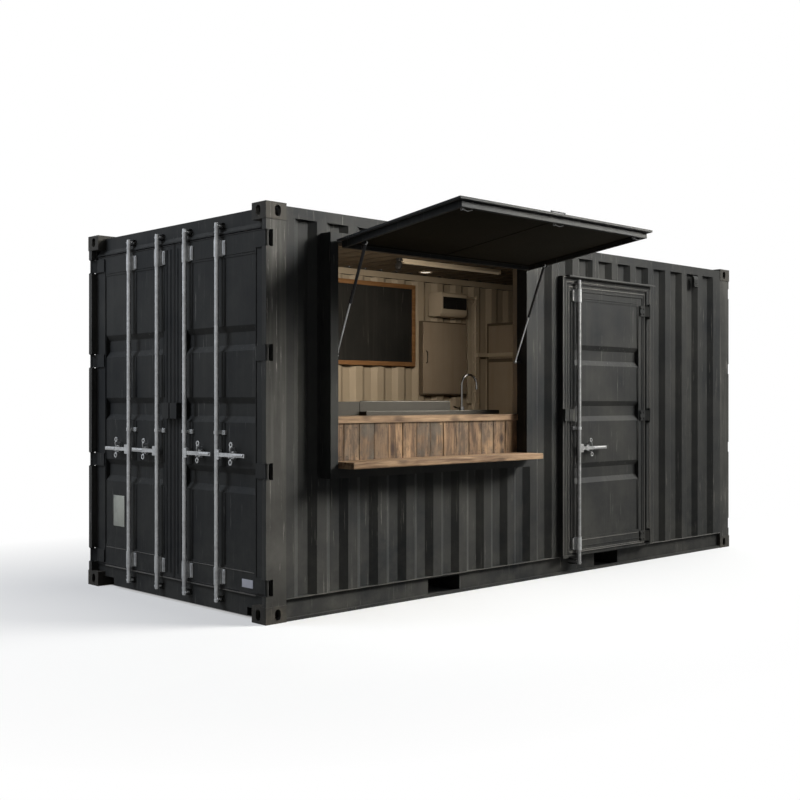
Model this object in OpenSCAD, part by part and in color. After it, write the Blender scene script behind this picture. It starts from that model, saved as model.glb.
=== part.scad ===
/* [Container] */
// Length over the corner castings
container_l = 6058; // [5600:1:7400]
// Width over the corner castings
container_w = 2438; // [2300:1:2950]
// Height over the corner castings
container_h = 2896; // [2780:1:3500]
// How far posts, rails and walls stay behind the faces of the castings
casting_proud = 4; // [2:0.5:8]
// Thickness of the wall, roof and door sheets
sheet_t = 2; // [1.5:0.1:4]

/* [Corner castings] */
// Length of a casting, along the container
casting_l = 178; // [150:1:215]
// Width of a casting
casting_w = 162; // [145:1:195]
// Height of a casting
casting_h = 118; // [100:1:142]
// Wall of a casting on its outer faces
casting_wall = 26; // [15:1:30]
// Wall of a casting on its hidden inner faces
casting_inner_wall = 12; // [8:1:13]
// Distance of a slot's centre from the end of the container
slot_from_end = 102.5; // [95:0.5:104]
// Distance of a slot's centre from the side of the container
slot_from_side = 89.5; // [80:0.5:95]
// Length of the slot in the top and bottom faces
slot_l = 124; // [100:1:124]
// Width of the slot in the top and bottom faces
slot_w = 63.5; // [50:0.5:68]
// Height of the slot in the side and end faces
side_slot_h = 79; // [60:1:84]
// Width of the slot in the side and end faces
side_slot_w = 51; // [40:1:60]

/* [Posts and rails] */
// Width of a corner post on the end of the container
post_w = 46; // [40:1:60]
// Wall of the hollow part of a post
post_wall = 6; // [4:1:8]
// Bottom of the rails above the ground
rail_lift = 18; // [12:1:24]
// Top of the bottom side rails above the ground
bottom_rail_top = 161; // [150:1:190]
// Thickness of the bottom side rails
bottom_rail_t = 5; // [4:0.5:8]
// Depth of the groove along the outside of the bottom side rails
rail_groove = 30; // [20:1:34]
// Height of the top side rails
top_rail_h = 77; // [60:1:90]
// Width of the top side rails
top_rail_w = 60; // [50:1:70]
// Top of the rails and roof below the top of the castings
roof_drop = 14; // [8:1:20]
// Wall of the hollow rails
rail_wall = 4; // [3:0.5:6]

/* [Walls and roof] */
// Number of folds along a long wall
wall_folds = 19; // [16:1:23]
// Depth of the folds of a long wall
wall_depth = 36; // [25:1:40]
// Flat strip of a long wall beside the door posts
wall_door_flat = 27; // [20:1:60]
// Flat strip of a long wall beside the posts of the closed end
wall_end_flat = 90; // [60:1:110]
// Number of folds across the closed end
end_folds = 9; // [6:1:11]
// Flat strip of the closed end beside each post
end_wall_flat = 40; // [20:1:80]
// Number of ribs along the roof
roof_folds = 26; // [20:1:30]
// Depth of the ribs of the roof
roof_depth = 20; // [12:1:24]
// Share of one fold that is a slope
slope_share = 0.2; // [0.15:0.01:0.3]

/* [Floor] */
// Thickness of the floor boards
floor_t = 28; // [21:1:35]
// Height of the floor's top above the ground
floor_top = 172; // [165:1:185]
// Spacing of the cross members
cross_pitch = 300; // [250:5:400]
// Flange of a cross member
cross_flange = 45; // [35:1:55]
// Thickness of the cross members and fork pockets
cross_t = 4.5; // [3:0.5:6]
// Centre of the first fork pocket from the door end
pocket_a = 1780; // [1500:10:2000]
// Centre of the second fork pocket from the door end
pocket_b = 3930; // [3700:10:4100]
// Width of a fork pocket
pocket_w = 360; // [300:5:400]
// Height of a fork pocket
pocket_h = 115; // [100:1:116]

/* [Cargo doors] */
// Outer face of the cargo doors behind the end of the container
door_inset = 56; // [52:1:58]
// Thickness of a cargo door
door_t = 40; // [32:1:46]
// Gap between a cargo door and its post
door_side_gap = 10; // [8:1:12]
// Gap between the two cargo doors
door_mid_gap = 14; // [12:1:18]
// Gap above and below a cargo door
door_end_gap = 8; // [7:1:12]
// Stile of a cargo door at the middle
meeting_stile = 150; // [120:1:170]
// Stile of a cargo door at its hinges
hinge_stile = 134; // [110:1:150]
// Height of the top and bottom rails of a cargo door
door_rail_h = 160; // [120:1:190]
// Height of one pressed band
band_h = 180; // [150:1:200]
// Depth of the pressed bands
band_depth = 30; // [18:1:34]
// Setback of the door sheet from the face of its frame
panel_setback = 4; // [2:0.5:6]
// Centres of the pressed bands above the ground
band_zs = [964, 1465, 1975];
// Centres of the cargo hinges above the ground
hinge_zs = [249, 1045, 1860, 2646];
// Height of a cargo hinge
hinge_h = 104; // [80:1:125]
// Distance of a hinge pin from the end and side planes of the container
pin_in = 22; // [20:0.5:24]
// Radius of a hinge pin
pin_r = 8; // [6:0.5:9]
// Radius of a hinge knuckle
knuckle_r = 14; // [12:0.5:16]
// Half thickness of the lock box over the gap between the doors
lock_box_h = 60; // [45:1:70]
// Height of the lock box above the ground
lock_box_z = 1455; // [1300:5:1600]
// Width of the lock box over both doors
lock_box_w = 200; // [150:1:240]

/* [Lock bars] */
// Radius of a lock bar
bar_r = 17; // [13:0.5:17]
// Distance of a bar's axis from the door face behind it
bar_off = 34; // [34:0.5:36]
// Distance of the inner bars from the middle of the cargo doors
inner_bar_y = 190; // [160:1:220]
// Distance of the outer bars from the middle of the cargo doors
outer_bar_y = 606; // [590:1:680]
// Bottom of the bars above the ground
bar_bottom = 82; // [70:1:95]
// Radial clearance of a bar or pin in its bearing
bearing_gap = 0.05; // [0.02:0.01:0.1]
// Outer radius of a bearing
bearing_r = 21; // [20.5:0.5:21.5]
// Length of a long bearing
bearing_l = 118; // [80:1:130]
// Height of the handles above the ground
handle_z = 1144; // [1100:1:1200]
// Reach of a handle from its bar
handle_l = 350; // [250:1:370]
// Thickness of a cam
cam_t = 16; // [10:1:20]
// Reach of a cam from the axis of its bar
cam_reach = 37; // [33:1:38]
// Free space over and under a cam in its keeper
keeper_gap = 6; // [5:0.5:9]

/* [Serving hatch] */
// Near edge of the hatch frame from the door end
hatch_x = 487; // [400:1:600]
// Width over the hatch frame
hatch_w = 2214; // [1900:1:2500]
// Bottom of the hatch frame above the ground
hatch_bottom = 980; // [850:1:1100]
// Top of the hatch frame above the ground
hatch_top = 2720; // [2600:1:2760]
// Width of a hatch frame member
hatch_member = 70; // [50:1:90]
// How far the hatch frame stands out of the container
hatch_proud = 107; // [80:1:130]
// Plate of the hatch frame
hatch_plate = 6; // [4:0.5:8]
// Tilt of the open awning above the level
awning_tilt = 7.5; // [2:0.5:12]
// Length of the awning from its pins to its front edge
awning_l = 1208; // [1000:1:1215]
// Depth of the awning's frame
awning_frame_h = 55; // [40:1:65]
// Width of a bar of the awning's frame
awning_bar = 25; // [20:1:35]
// Thickness of the awning's top sheet
awning_sheet = 3; // [2:0.5:6]
// How far the top sheet laps over the hatch frame
awning_lap = 30; // [15:1:40]
// Side clearance between the awning's frame and the hatch frame
awning_gap = 10; // [6:1:15]

/* [Struts] */
// Distance of the upper strut pivot from the awning's pins
strut_reach = 213; // [180:1:260]
// Distance of the upper strut pivot below the awning's pins
strut_drop = 50; // [45:1:60]
// Height of the lower strut pivot above the ground
strut_low_z = 1854; // [1800:1:1950]
// Distance of the lower strut pivot outside the container's side
strut_low_out = 25; // [15:1:35]
// Distance of a strut's axis from the face of the hatch frame beside it
strut_lane = 55; // [52:1:65]
// Radius of a strut cylinder
strut_r = 11; // [9:0.5:12]
// Radius of a strut rod
strut_rod_r = 6; // [4:0.5:7]
// Length of a strut cylinder
strut_cyl_l = 440; // [380:1:480]

/* [Counter] */
// Top of the serving ledge above the ground
ledge_top = 1097; // [1080:1:1120]
// How far the ledge reaches from the container's side
ledge_reach = 267; // [200:1:320]
// Top of the counter above the ground
counter_top_z = 1417; // [1300:1:1500]
// Thickness of the counter top
counter_t = 50; // [30:1:60]
// Thickness of the boarded counter front
counter_front_t = 25; // [18:1:32]
// Depth of the counter inside the container
counter_d = 740; // [600:5:900]
// Thickness of the steel worktop's edge
worktop_t = 30; // [20:1:40]
// Height of the steel upstand over the counter top
upstand_h = 107; // [70:1:130]

/* [Side door] */
// Near edge of the doorway frame from the door end
doorway_x = 3195; // [3000:1:3300]
// Width over the doorway frame
doorway_w = 1345; // [1200:1:1500]
// Top of the doorway frame above the ground
doorway_top = 2623; // [2500:1:2680]
// Width of a doorway frame member
doorway_member = 62; // [50:1:80]
// How far the doorway frame stands out of the container
doorway_proud = 40; // [25:1:60]
// Thickness of the side door
side_door_t = 40; // [30:1:44]
// Gap round the side door
side_gap = 8; // [6:1:12]
// Setback of the side door from the face of its frame
side_setback = 10; // [6:1:14]
// Stile of the side door
side_stile = 112; // [90:1:130]
// Centres of the side door's hinges above the ground
side_hinge_zs = [250, 1390, 2375];
// Centres of the side door's pressed bands above the ground
side_band_zs = [885, 1436, 1935];
// Distance of the side bar from the near edge of the doorway frame
side_bar_x = 205; // [190:1:240]
// Height of the side handle above the ground
side_handle_z = 1110; // [1000:1:1200]

/* [Hidden] */
$fn = 48;
slack = 1;
x0 = -container_l / 2;
x1 = container_l / 2;
y0 = -container_w / 2;
y1 = container_w / 2;

// Levels and lines shared by several pieces
roof_top = container_h - roof_drop;
top_rail_z = container_h - casting_proud - 15 - top_rail_h;
wall_x0 = x0 + casting_l;
wall_x1 = x1 - casting_l;
wall_in = casting_proud + wall_depth + sheet_t;
casting_bottom_z = container_h - casting_h;
floor_z = floor_top - floor_t;
post_in = casting_proud + post_w;
door_x = x0 + door_inset;
door_y = y0 + post_in + door_side_gap;
door_z0 = floor_top + 8 + door_end_gap;
header_z = casting_bottom_z - 53;
door_z1 = header_z - door_end_gap;
header_in = door_inset + 17;
sill_in = door_inset + 10;
bar_in = door_inset - bar_off;
bar_top = header_z + 87;
cam_z0 = bar_bottom + 12;
cam_z1 = bar_top - 12 - cam_t;
hatch_x0 = x0 + hatch_x;
hatch_x1 = hatch_x0 + hatch_w;
opening_x0 = hatch_x0 + hatch_member;
opening_x1 = hatch_x1 - hatch_member;
opening_z0 = hatch_bottom + hatch_member;
opening_z1 = hatch_top - hatch_member;
hatch_face = y0 - hatch_proud;
awning_pin_y = hatch_face - 12;
awning_pin_z = opening_z1 + 5;
awning_sheet_w = 8;
awning_swing = 90 + awning_tilt;
awning_hinge_xs = [for (i = [0 : 6]) opening_x0 + 110 + i * (opening_x1 - opening_x0 - 220) / 6];
doorway_x0 = x0 + doorway_x;
doorway_x1 = doorway_x0 + doorway_w;
doorway_face = y0 - doorway_proud;
side_door_x0 = doorway_x0 + doorway_member + side_gap;
side_door_x1 = doorway_x1 - doorway_member - side_gap + 2;
side_door_y = doorway_face + side_setback;
side_door_z0 = bottom_rail_top + 21;
side_door_z1 = doorway_top - doorway_member - side_gap;
side_pin_x = doorway_x1 - 35;
side_pin_y = doorway_face - 14;
side_bar_ax = doorway_x0 + side_bar_x;
side_bar_ay = side_door_y - bar_off;
side_bar_top = doorway_top - 32;
side_hinge_h = 96;

paint = "#2b2d2e";
galvanised = "#a9abab";

// ---------- shared shapes ----------

// A box from its lowest to its highest corner
module box(a, b) {
    translate(a) cube([b[0] - a[0], b[1] - a[1], b[2] - a[2]]);
}

// An upright copy on both long sides of the container
module both_sides() {
    children();
    mirror([0, 1, 0]) children();
}

module both_ends() {
    children();
    mirror([1, 0, 0]) children();
}

// A slot with round ends, its length along X
module stadium(l, w, h) {
    linear_extrude(h) union() {
        translate([-(l - w) / 2, -w / 2]) square([l - w, w]);
        for (s = [-1, 1]) translate([s * (l - w) / 2, 0]) circle(d = w);
    }
}

// Outline points of one folded edge: flat, slope in, flat, slope out
function fold_edge(start, end, flat_a, flat_b, folds, depth) =
    let (pitch = (end - start - flat_a - flat_b) / folds, run = pitch * slope_share, level = pitch / 2 - run)
    [for (i = [0 : folds - 1]) let (a = start + flat_a + i * pitch + level / 2)
        each [[a, 0], [a + run, depth], [a + run + level, depth], [a + 2 * run + level, 0]]];

// A folded sheet seen along its folds, with its outer flats on y = 0
module folded_outline(start, end, flat_a, flat_b, folds, depth) {
    edge = concat([[start, 0]], fold_edge(start, end, flat_a, flat_b, folds, depth), [[end, 0]]);
    back = [for (i = [len(edge) - 1 : -1 : 0]) edge[i] + [0, sheet_t]];
    polygon(concat(edge, back));
}

// Part of a long wall, between two distances along it and two heights
module wall_piece(xa, xb, za, zb) {
    translate([0, y0 + casting_proud, za]) linear_extrude(zb - za) intersection() {
        folded_outline(wall_x0, wall_x1, wall_door_flat, wall_end_flat, wall_folds, wall_depth);
        translate([xa, -1]) square([xb - xa, wall_depth + sheet_t + 2]);
    }
}

// ---------- frame of the container ----------

module casting() {
    difference() {
        cube([casting_l, casting_w, casting_h]);
        translate([casting_wall, casting_wall, casting_wall])
            cube([casting_l - casting_wall - casting_inner_wall, casting_w - casting_wall - casting_inner_wall,
                casting_h - 2 * casting_wall]);
        translate([slot_from_end, slot_from_side, -slack]) stadium(slot_l, slot_w, casting_h + 2 * slack);
        translate([-slack, slot_from_side, casting_h / 2]) rotate([0, 90, 0])
            stadium(side_slot_h, side_slot_w, casting_wall + 2 * slack);
        translate([slot_from_end, -slack, casting_h / 2]) rotate([-90, 90, 0])
            stadium(side_slot_h, side_slot_w, casting_wall + 2 * slack);
    }
}

module corner_castings() color(paint) both_ends() both_sides() {
    translate([x0, y0, 0]) casting();
    translate([x0, y0, container_h]) mirror([0, 0, 1]) casting();
}

module plain_post() {
    difference() {
        box([x0 + casting_proud, y0 + casting_proud, casting_h],
            [x0 + casting_l, y0 + post_in, casting_bottom_z]);
        box([x0 + door_inset + 20, y0 + casting_proud + post_wall, casting_h - slack],
            [x0 + casting_l - post_wall, y0 + post_in - post_wall, casting_bottom_z + slack]);
    }
}

module door_post() {
    difference() {
        plain_post();
        for (z = hinge_zs) box([x0, y0, z - hinge_h / 2 - 6], [door_x + 8, y0 + post_in + slack, z + hinge_h / 2 + 6]);
    }
    for (z = hinge_zs) translate([x0 + pin_in, y0 + pin_in, z - hinge_h / 2 - 6]) cylinder(r = pin_r, h = hinge_h + 12);
}

module end_post() {
    difference() {
        plain_post();
        for (z = hinge_zs) box([x0, y0, z - hinge_h / 2], [x0 + 16, y0 + casting_proud + 20, z + hinge_h / 2]);
    }
}

module corner_posts() color(paint) both_sides() {
    door_post();
    mirror([1, 0, 0]) end_post();
}

module top_side_rails() color(paint) both_sides() difference() {
    box([wall_x0, y0 + casting_proud, top_rail_z], [wall_x1, y0 + casting_proud + top_rail_w, top_rail_z + top_rail_h]);
    box([wall_x0 - slack, y0 + casting_proud + rail_wall, top_rail_z + rail_wall],
        [wall_x1 + slack, y0 + casting_proud + top_rail_w - rail_wall, top_rail_z + top_rail_h - rail_wall]);
}

module bottom_side_rail() {
    web = casting_proud + rail_groove;
    difference() {
        box([wall_x0, y0 + casting_proud, rail_lift], [wall_x1, y0 + wall_in + 6, bottom_rail_top]);
        box([wall_x0 - slack, y0, rail_lift + bottom_rail_t], [wall_x1 + slack, y0 + web, bottom_rail_top - bottom_rail_t]);
        box([wall_x0 - slack, y0 + web + bottom_rail_t, rail_lift - slack],
            [wall_x1 + slack, y0 + wall_in + 6 + slack, bottom_rail_top - bottom_rail_t]);
        for (p = [pocket_a, pocket_b])
            box([x0 + p - pocket_w / 2, y0, rail_lift + bottom_rail_t],
                [x0 + p + pocket_w / 2, y0 + web + bottom_rail_t + slack, rail_lift + bottom_rail_t + pocket_h]);
    }
}

module bottom_side_rails() color(paint) both_sides() bottom_side_rail();

module door_header() color(paint) {
    back = header_in + 60;
    difference() {
        union() {
            box([x0 + header_in, y0 + casting_w, casting_bottom_z], [x0 + back, y1 - casting_w, roof_top - 12]);
            box([x0 + header_in, y0 + post_in, header_z], [x0 + back, y1 - post_in, casting_bottom_z]);
            box([x0 + back, y0 + casting_w, roof_top - 18], [wall_x0, y1 - casting_w, roof_top]);
        }
        box([x0 + header_in + rail_wall, y0, header_z + rail_wall], [x0 + back - rail_wall, y1, roof_top - 12 - rail_wall]);
    }
    // sloping drip strip over the doors
    translate([0, y1 - post_in, 0]) rotate([90, 0, 0]) linear_extrude(container_w - 2 * post_in)
        polygon([[x0 + header_in, header_z + 43], [x0 + header_in, header_z + 3],
            [x0 + header_in - 24, header_z + 3], [x0 + header_in - 24, header_z + 14]]);
}

module door_sill() color(paint) {
    back = x0 + casting_l;
    sill_top = floor_top + 8;
    notch = 142;
    difference() {
        union() {
            box([x0 + sill_in, y0 + casting_w, rail_lift], [x0 + sill_in + 10, y1 - casting_w, casting_h]);
            box([x0 + sill_in, y0 + post_in, casting_h], [x0 + sill_in + 10, y1 - post_in, sill_top - 6]);
            box([x0 + sill_in - 12, y0 + post_in, sill_top - 6], [back, y1 - post_in, sill_top]);
        }
        for (s = [-1, 1]) translate([x0 + sill_in - slack, s * (container_w / 2 - casting_w - notch / 2) - notch / 2, 0])
            cube([10 + 2 * slack, notch, 80]);
    }
}

module end_rails() color(paint) mirror([1, 0, 0]) {
    inner = casting_proud + 60;
    difference() {
        box([x0 + casting_proud, y0 + casting_w, casting_bottom_z], [x0 + inner, y1 - casting_w, roof_top - 12]);
        box([x0 + casting_proud + rail_wall, y0, casting_bottom_z + rail_wall],
            [x0 + inner - rail_wall, y1, roof_top - 12 - rail_wall]);
    }
    box([x0 + inner, y0 + casting_w, roof_top - 18], [wall_x0, y1 - casting_w, roof_top]);
    box([x0 + casting_proud, y0 + casting_w, rail_lift], [x0 + casting_proud + 8, y1 - casting_w, casting_h]);
    box([x0 + casting_proud, y0 + post_in, casting_h], [x0 + casting_proud + 8, y1 - post_in, bottom_rail_top - 6]);
    box([x0 + casting_proud, y0 + post_in, bottom_rail_top - 6], [x0 + inner, y1 - post_in, bottom_rail_top]);
}

module floor() color("#6f5a42")
    box([wall_x0 + slack, y0 + wall_in + 6, floor_z], [wall_x1 - slack, y1 - wall_in - 6, floor_top]);

module cross_members() color(paint) {
    side = y0 + casting_proud + rail_groove + bottom_rail_t;
    top = floor_z;
    clear = pocket_w / 2 + cross_flange + 30;
    for (x = [x0 + casting_l + 60 : cross_pitch : x1 - casting_l - 60])
        if (abs(x - x0 - pocket_a) > clear && abs(x - x0 - pocket_b) > clear) difference() {
            box([x, side, rail_lift + bottom_rail_t], [x + cross_flange, -side, top]);
            box([x + cross_t, side - slack, rail_lift + bottom_rail_t + cross_t], [x + cross_flange + slack, -side + slack, top - cross_t]);
        }
}

// Tunnels for the forks of a lift truck, open below
module fork_pockets() color(paint) {
    side = y0 + casting_proud + rail_groove + bottom_rail_t;
    for (p = [pocket_a, pocket_b]) difference() {
        box([x0 + p - pocket_w / 2 - cross_t, side, rail_lift + bottom_rail_t], [x0 + p + pocket_w / 2 + cross_t, -side, floor_z]);
        box([x0 + p - pocket_w / 2, side - slack, 0], [x0 + p + pocket_w / 2, -side + slack, rail_lift + bottom_rail_t + pocket_h]);
    }
}

module roof() color(paint) translate([0, 0, roof_top]) rotate([90, 0, 0])
    translate([0, 0, y0 + casting_proud + top_rail_w]) linear_extrude(container_w - 2 * (casting_proud + top_rail_w))
        mirror([0, 1, 0]) folded_outline(wall_x0, wall_x1, 40, 40, roof_folds, roof_depth);

module end_wall() color(paint) translate([x1 - casting_proud, 0, bottom_rail_top]) rotate([0, 0, 90])
    linear_extrude(casting_bottom_z - bottom_rail_top)
        folded_outline(y0 + post_in, y1 - post_in, end_wall_flat, end_wall_flat, end_folds, wall_depth);

module back_wall() color(paint) mirror([0, 1, 0]) wall_piece(wall_x0, wall_x1, bottom_rail_top, top_rail_z);

module front_wall_uprights() color(paint) {
    wall_piece(wall_x0, hatch_x0, bottom_rail_top, top_rail_z);
    wall_piece(hatch_x1, doorway_x0, bottom_rail_top, top_rail_z);
    wall_piece(doorway_x1, wall_x1, bottom_rail_top, top_rail_z);
}

module front_wall_infills() color(paint) {
    wall_piece(hatch_x0, hatch_x1, bottom_rail_top, hatch_bottom);
    wall_piece(hatch_x0, hatch_x1, hatch_top, top_rail_z);
    wall_piece(doorway_x0, doorway_x1, doorway_top, top_rail_z);
}

// ---------- serving hatch and counter ----------

module hatch_frame() color(paint) {
    back = y0 + wall_in + 6;
    difference() {
        box([hatch_x0, hatch_face, hatch_bottom], [hatch_x1, back, hatch_top]);
        box([opening_x0, hatch_face - slack, opening_z0], [opening_x1, back + slack, opening_z1]);
        // the inner part of the reveal lies a little deeper
        box([opening_x0 - 1, y0 + counter_front_t + 1, opening_z0], [opening_x1 + 1, back + slack, opening_z1 + 1]);
        // the members are folded plates, open towards the room
        difference() {
            box([hatch_x0 + hatch_plate, hatch_face + hatch_plate, hatch_bottom + hatch_plate],
                [hatch_x1 - hatch_plate, back - hatch_plate, hatch_top - hatch_plate]);
            box([opening_x0 - hatch_plate, hatch_face, opening_z0 - hatch_plate],
                [opening_x1 + hatch_plate, back + slack, opening_z1 + hatch_plate]);
        }
        box([hatch_x0 + 25, back - hatch_plate - slack, opening_z0 + 200], [hatch_x0 + 45, back + slack, opening_z1 - 200]);
    }
    for (s = [0, 1]) translate([s * (opening_x0 + opening_x1), 0, 0]) mirror([s, 0, 0]) strut_stand();
    // fixed halves of the awning's hinges, with their pins
    translate([0, awning_pin_y, awning_pin_z]) for (x = awning_hinge_xs) {
        for (s = [-1, 1]) translate([x + s * 46 - 15, 0, 0]) {
            rotate([0, 90, 0]) cylinder(r = 6.5, h = 30);
            box([0, 0, -5], [30, hatch_face - awning_pin_y, 5]);
        }
        translate([x - 46, 0, 0]) rotate([0, 90, 0]) cylinder(r = 4, h = 92);
    }
}

// Stand on the hatch frame that carries a strut's lower pin
module strut_stand() {
    face = opening_x0 + strut_lane - 14;
    box([opening_x0, y0 - strut_low_out - 15, strut_low_z - 15], [face, y0 - strut_low_out + 15, strut_low_z + 15]);
    translate([face, y0 - strut_low_out, strut_low_z]) rotate([0, 90, 0]) cylinder(r = 5, h = 23);
}

module serving_ledge() color("#8a6a4a") {
    box([opening_x0 + 5, hatch_face, opening_z0], [opening_x1 - 5, y0, ledge_top]);
    box([opening_x0 + 5, y0 - ledge_reach, opening_z0], [opening_x1 + 19, hatch_face, ledge_top]);
}

module counter_front() color("#7b6048")
    box([opening_x0, y0, opening_z0], [opening_x1, y0 + counter_front_t, counter_top_z - counter_t]);

module counter_base() color("#6b5a48") {
    front = y0 + wall_in + 6;
    top = counter_top_z - counter_t;
    box([opening_x0, front, floor_top], [opening_x1, front + 18, top]);
    for (x = [opening_x0 + 9, (opening_x0 + opening_x1) / 2, opening_x1 - 9])
        box([x - 9, front + 18, floor_top], [x + 9, y0 + counter_d - 20, top]);
}

module counter_top() color("#8f7355")
    box([opening_x0, y0 - 10, counter_top_z - counter_t], [opening_x1, y0 + counter_d, counter_top_z]);

module sink_unit() color("#b9bcbd") {
    left = x0 + 1105;
    right = opening_x1;
    front = y0 + 200;
    back = y0 + counter_d;
    bowl = [left + 1080, front + 150, counter_top_z];
    top = counter_top_z + worktop_t;
    difference() {
        union() {
            box([left, front, counter_top_z], [right, back, top]);
            box([left, front + 75, top], [left + 1000, front + 90, counter_top_z + upstand_h]);
        }
        translate(bowl + [0, 0, 2]) cube([300, 300, worktop_t]);
    }
    box([opening_x0 + 20, front + 75, counter_top_z], [left - 6, front + 90, counter_top_z + upstand_h]);
}

module tap() color("#c4c6c8") {
    foot = [x0 + 2270, y0 + 300, counter_top_z + worktop_t];
    translate(foot) cylinder(r = 22, h = 30);
    translate(foot + [0, 0, 30]) cylinder(r = 9, h = 180);
    translate(foot + [92, 0, 210]) rotate([90, 0, 0]) rotate_extrude(angle = 180) translate([92, 0]) circle(r = 9);
    translate(foot + [184, 0, 180]) cylinder(r = 9, h = 30);
}

// ---------- side doorway ----------

module doorway_frame() color(paint) {
    back = y0 + wall_in + 6;
    inner_x0 = doorway_x0 + doorway_member;
    inner_x1 = doorway_x1 - doorway_member;
    difference() {
        box([doorway_x0, doorway_face, bottom_rail_top], [doorway_x1, back, doorway_top]);
        box([inner_x0, doorway_face - slack, bottom_rail_top + 15], [inner_x1, back + slack, doorway_top - doorway_member]);
        // pocket that the upper cam of the side bar turns into
        box([side_bar_ax - 18, doorway_face - slack, side_bar_top - 12 - cam_t - keeper_gap],
            [side_bar_ax + cam_reach + 11, side_bar_ay + cam_reach + 8, side_bar_top - 12 + keeper_gap]);
    }
    // drip rail over the door
    box([doorway_x0 + 60, doorway_face - 30, doorway_top], [doorway_x1 + 40, y0 + casting_proud, doorway_top + 8]);
    // hasp block and hinge lugs
    box([doorway_x0 + 4, doorway_face - 28, 1350], [inner_x0 - 4, doorway_face, 1457]);
    for (z = side_hinge_zs) {
        for (s = [-1, 1]) translate([0, 0, z + s * (side_hinge_h / 2 + 11)]) difference() {
            box([side_pin_x - 13, side_pin_y - 13, -9], [side_pin_x + 13, doorway_face, 9]);
        }
        translate([side_pin_x, side_pin_y, z - side_hinge_h / 2 - 2]) cylinder(r = pin_r, h = side_hinge_h + 4);
    }
}

// ---------- doors ----------

// One pressed band of a door sheet, seen along it: setbacks from the face against height
function band_edge(z) = [[panel_setback, z - band_h / 2], [panel_setback + band_depth, z - band_h / 4],
    [panel_setback + band_depth, z + band_h / 4], [panel_setback, z + band_h / 2]];

// Door sheet seen along its bands, x into the door
module door_sheet_outline(z0, z1, zs) {
    edge = concat([[panel_setback, z0]], [for (z = zs) each band_edge(z)], [[panel_setback, z1]]);
    back = [for (i = [len(edge) - 1 : -1 : 0]) edge[i] + [sheet_t, 0]];
    polygon(concat(edge, back));
}

// A door in its own frame: x along it from its hinge edge, y into it, z up
module door_leaf(w, z0, z1, hinge_w, free_w, rail, zs, t) {
    difference() {
        box([0, 0, z0], [w, t, z1]);
        box([hinge_w, -slack, z0 + rail], [w - free_w, t + slack, z1 - rail]);
    }
    translate([hinge_w, 0, 0]) rotate([90, 0, 90]) linear_extrude(w - hinge_w - free_w)
        door_sheet_outline(z0 + rail, z1 - rail, zs);
}

// Bearing for a lock bar, standing on the door face at y = 0, its bar along Z
module bearing(l) {
    difference() {
        union() {
            translate([0, -bar_off, 0]) cylinder(r = bearing_r, h = l);
            box([-12, -bar_off, 0], [12, -6, l]);
            box([-32, -6, 0], [32, 0, l]);
        }
        translate([0, -bar_off, -slack]) cylinder(r = bar_r + bearing_gap, h = l + 2 * slack);
    }
}

// Rest that a handle lies in, open to the outside
module handle_rest() {
    difference() {
        box([-16, -bar_off + 4, -26], [16, 0, 26]);
        box([-16 - slack, -bar_off - 1, -19], [16 + slack, -bar_off + 15, 19]);
    }
}

// A lock bar about its own axis. Its handle points along +X, its cams along +Y
module lock_bar(bottom, top, grip_z, reach) {
    difference() {
        union() {
            translate([0, 0, bottom]) cylinder(r = bar_r, h = top - bottom);
            for (z = [bottom + 12, top - 12 - cam_t]) box([-11, 0, z], [11, cam_reach, z + cam_t]);
            box([0, -bar_r + 1, grip_z - 36], [46, bar_r - 6, grip_z + 36]);
            box([46, -bar_r + 3, grip_z - 14], [reach, -bar_r + 15, grip_z + 14]);
        }
        translate([reach - 16, -bar_r, grip_z]) rotate([-90, 0, 0]) cylinder(r = 6, h = 30);
    }
}

// Hinge blade of a cargo door, seen from above: knuckle, crank and strap, x along the door from the side plane
module cargo_hinge() {
    difference() {
        linear_extrude(hinge_h) difference() {
            union() {
                translate([pin_in, pin_in - door_inset]) circle(r = knuckle_r);
                polygon([[pin_in - 4, pin_in - door_inset + 6], [pin_in + 10, pin_in - door_inset - 6],
                    [post_in + 20, -12], [post_in + 130, -12], [post_in + 130, 0], [post_in + 6, 0]]);
            }
            translate([pin_in, pin_in - door_inset]) circle(r = pin_r + bearing_gap);
        }
    }
}

function door_bar_xs() = [container_w / 2 - outer_bar_y, container_w / 2 - inner_bar_y];

// The fittings of a cargo door. x from the side plane of the container, y into the door from its face
module cargo_fittings() {
    for (x = door_bar_xs()) {
        translate([x, 0, door_z1 - 28 - bearing_l]) bearing(bearing_l);
        translate([x, 0, door_z0 + 20]) bearing(bearing_l);
        translate([x, 0, 1290]) bearing(24);
        translate([x - 185, 0, handle_z]) handle_rest();
    }
    for (z = hinge_zs) translate([0, 0, z - hinge_h / 2]) cargo_hinge();
    box([container_w / 2 - lock_box_w / 2, -door_inset + 8, lock_box_z - lock_box_h],
        [container_w / 2 - door_mid_gap / 2, 0, lock_box_z + lock_box_h]);
}

// Places a shape made along a door onto the right-hand cargo door: x from the side plane, y into the door
module on_right_door() {
    translate([door_x, y0, 0]) mirror([1, -1, 0]) children();
}

module cargo_leaf() {
    edge = post_in + door_side_gap;
    translate([edge, 0, 0]) door_leaf(container_w / 2 - door_mid_gap / 2 - edge, door_z0, door_z1,
        hinge_stile, meeting_stile, door_rail_h, band_zs, door_t);
}

module right_door() color(paint) on_right_door() cargo_leaf();
module right_door_fittings() color(galvanised) on_right_door() cargo_fittings();
module left_door() color(paint) mirror([0, 1, 0]) on_right_door() cargo_leaf();
module left_door_fittings() color(galvanised) mirror([0, 1, 0]) on_right_door() cargo_fittings();

// A bar of the right-hand door at a distance from the middle of the container
module cargo_bar(y) {
    translate([x0 + bar_in, -y, 0]) mirror([1, -1, 0]) mirror([1, 0, 0]) lock_bar(bar_bottom, bar_top, handle_z, handle_l);
}

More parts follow.
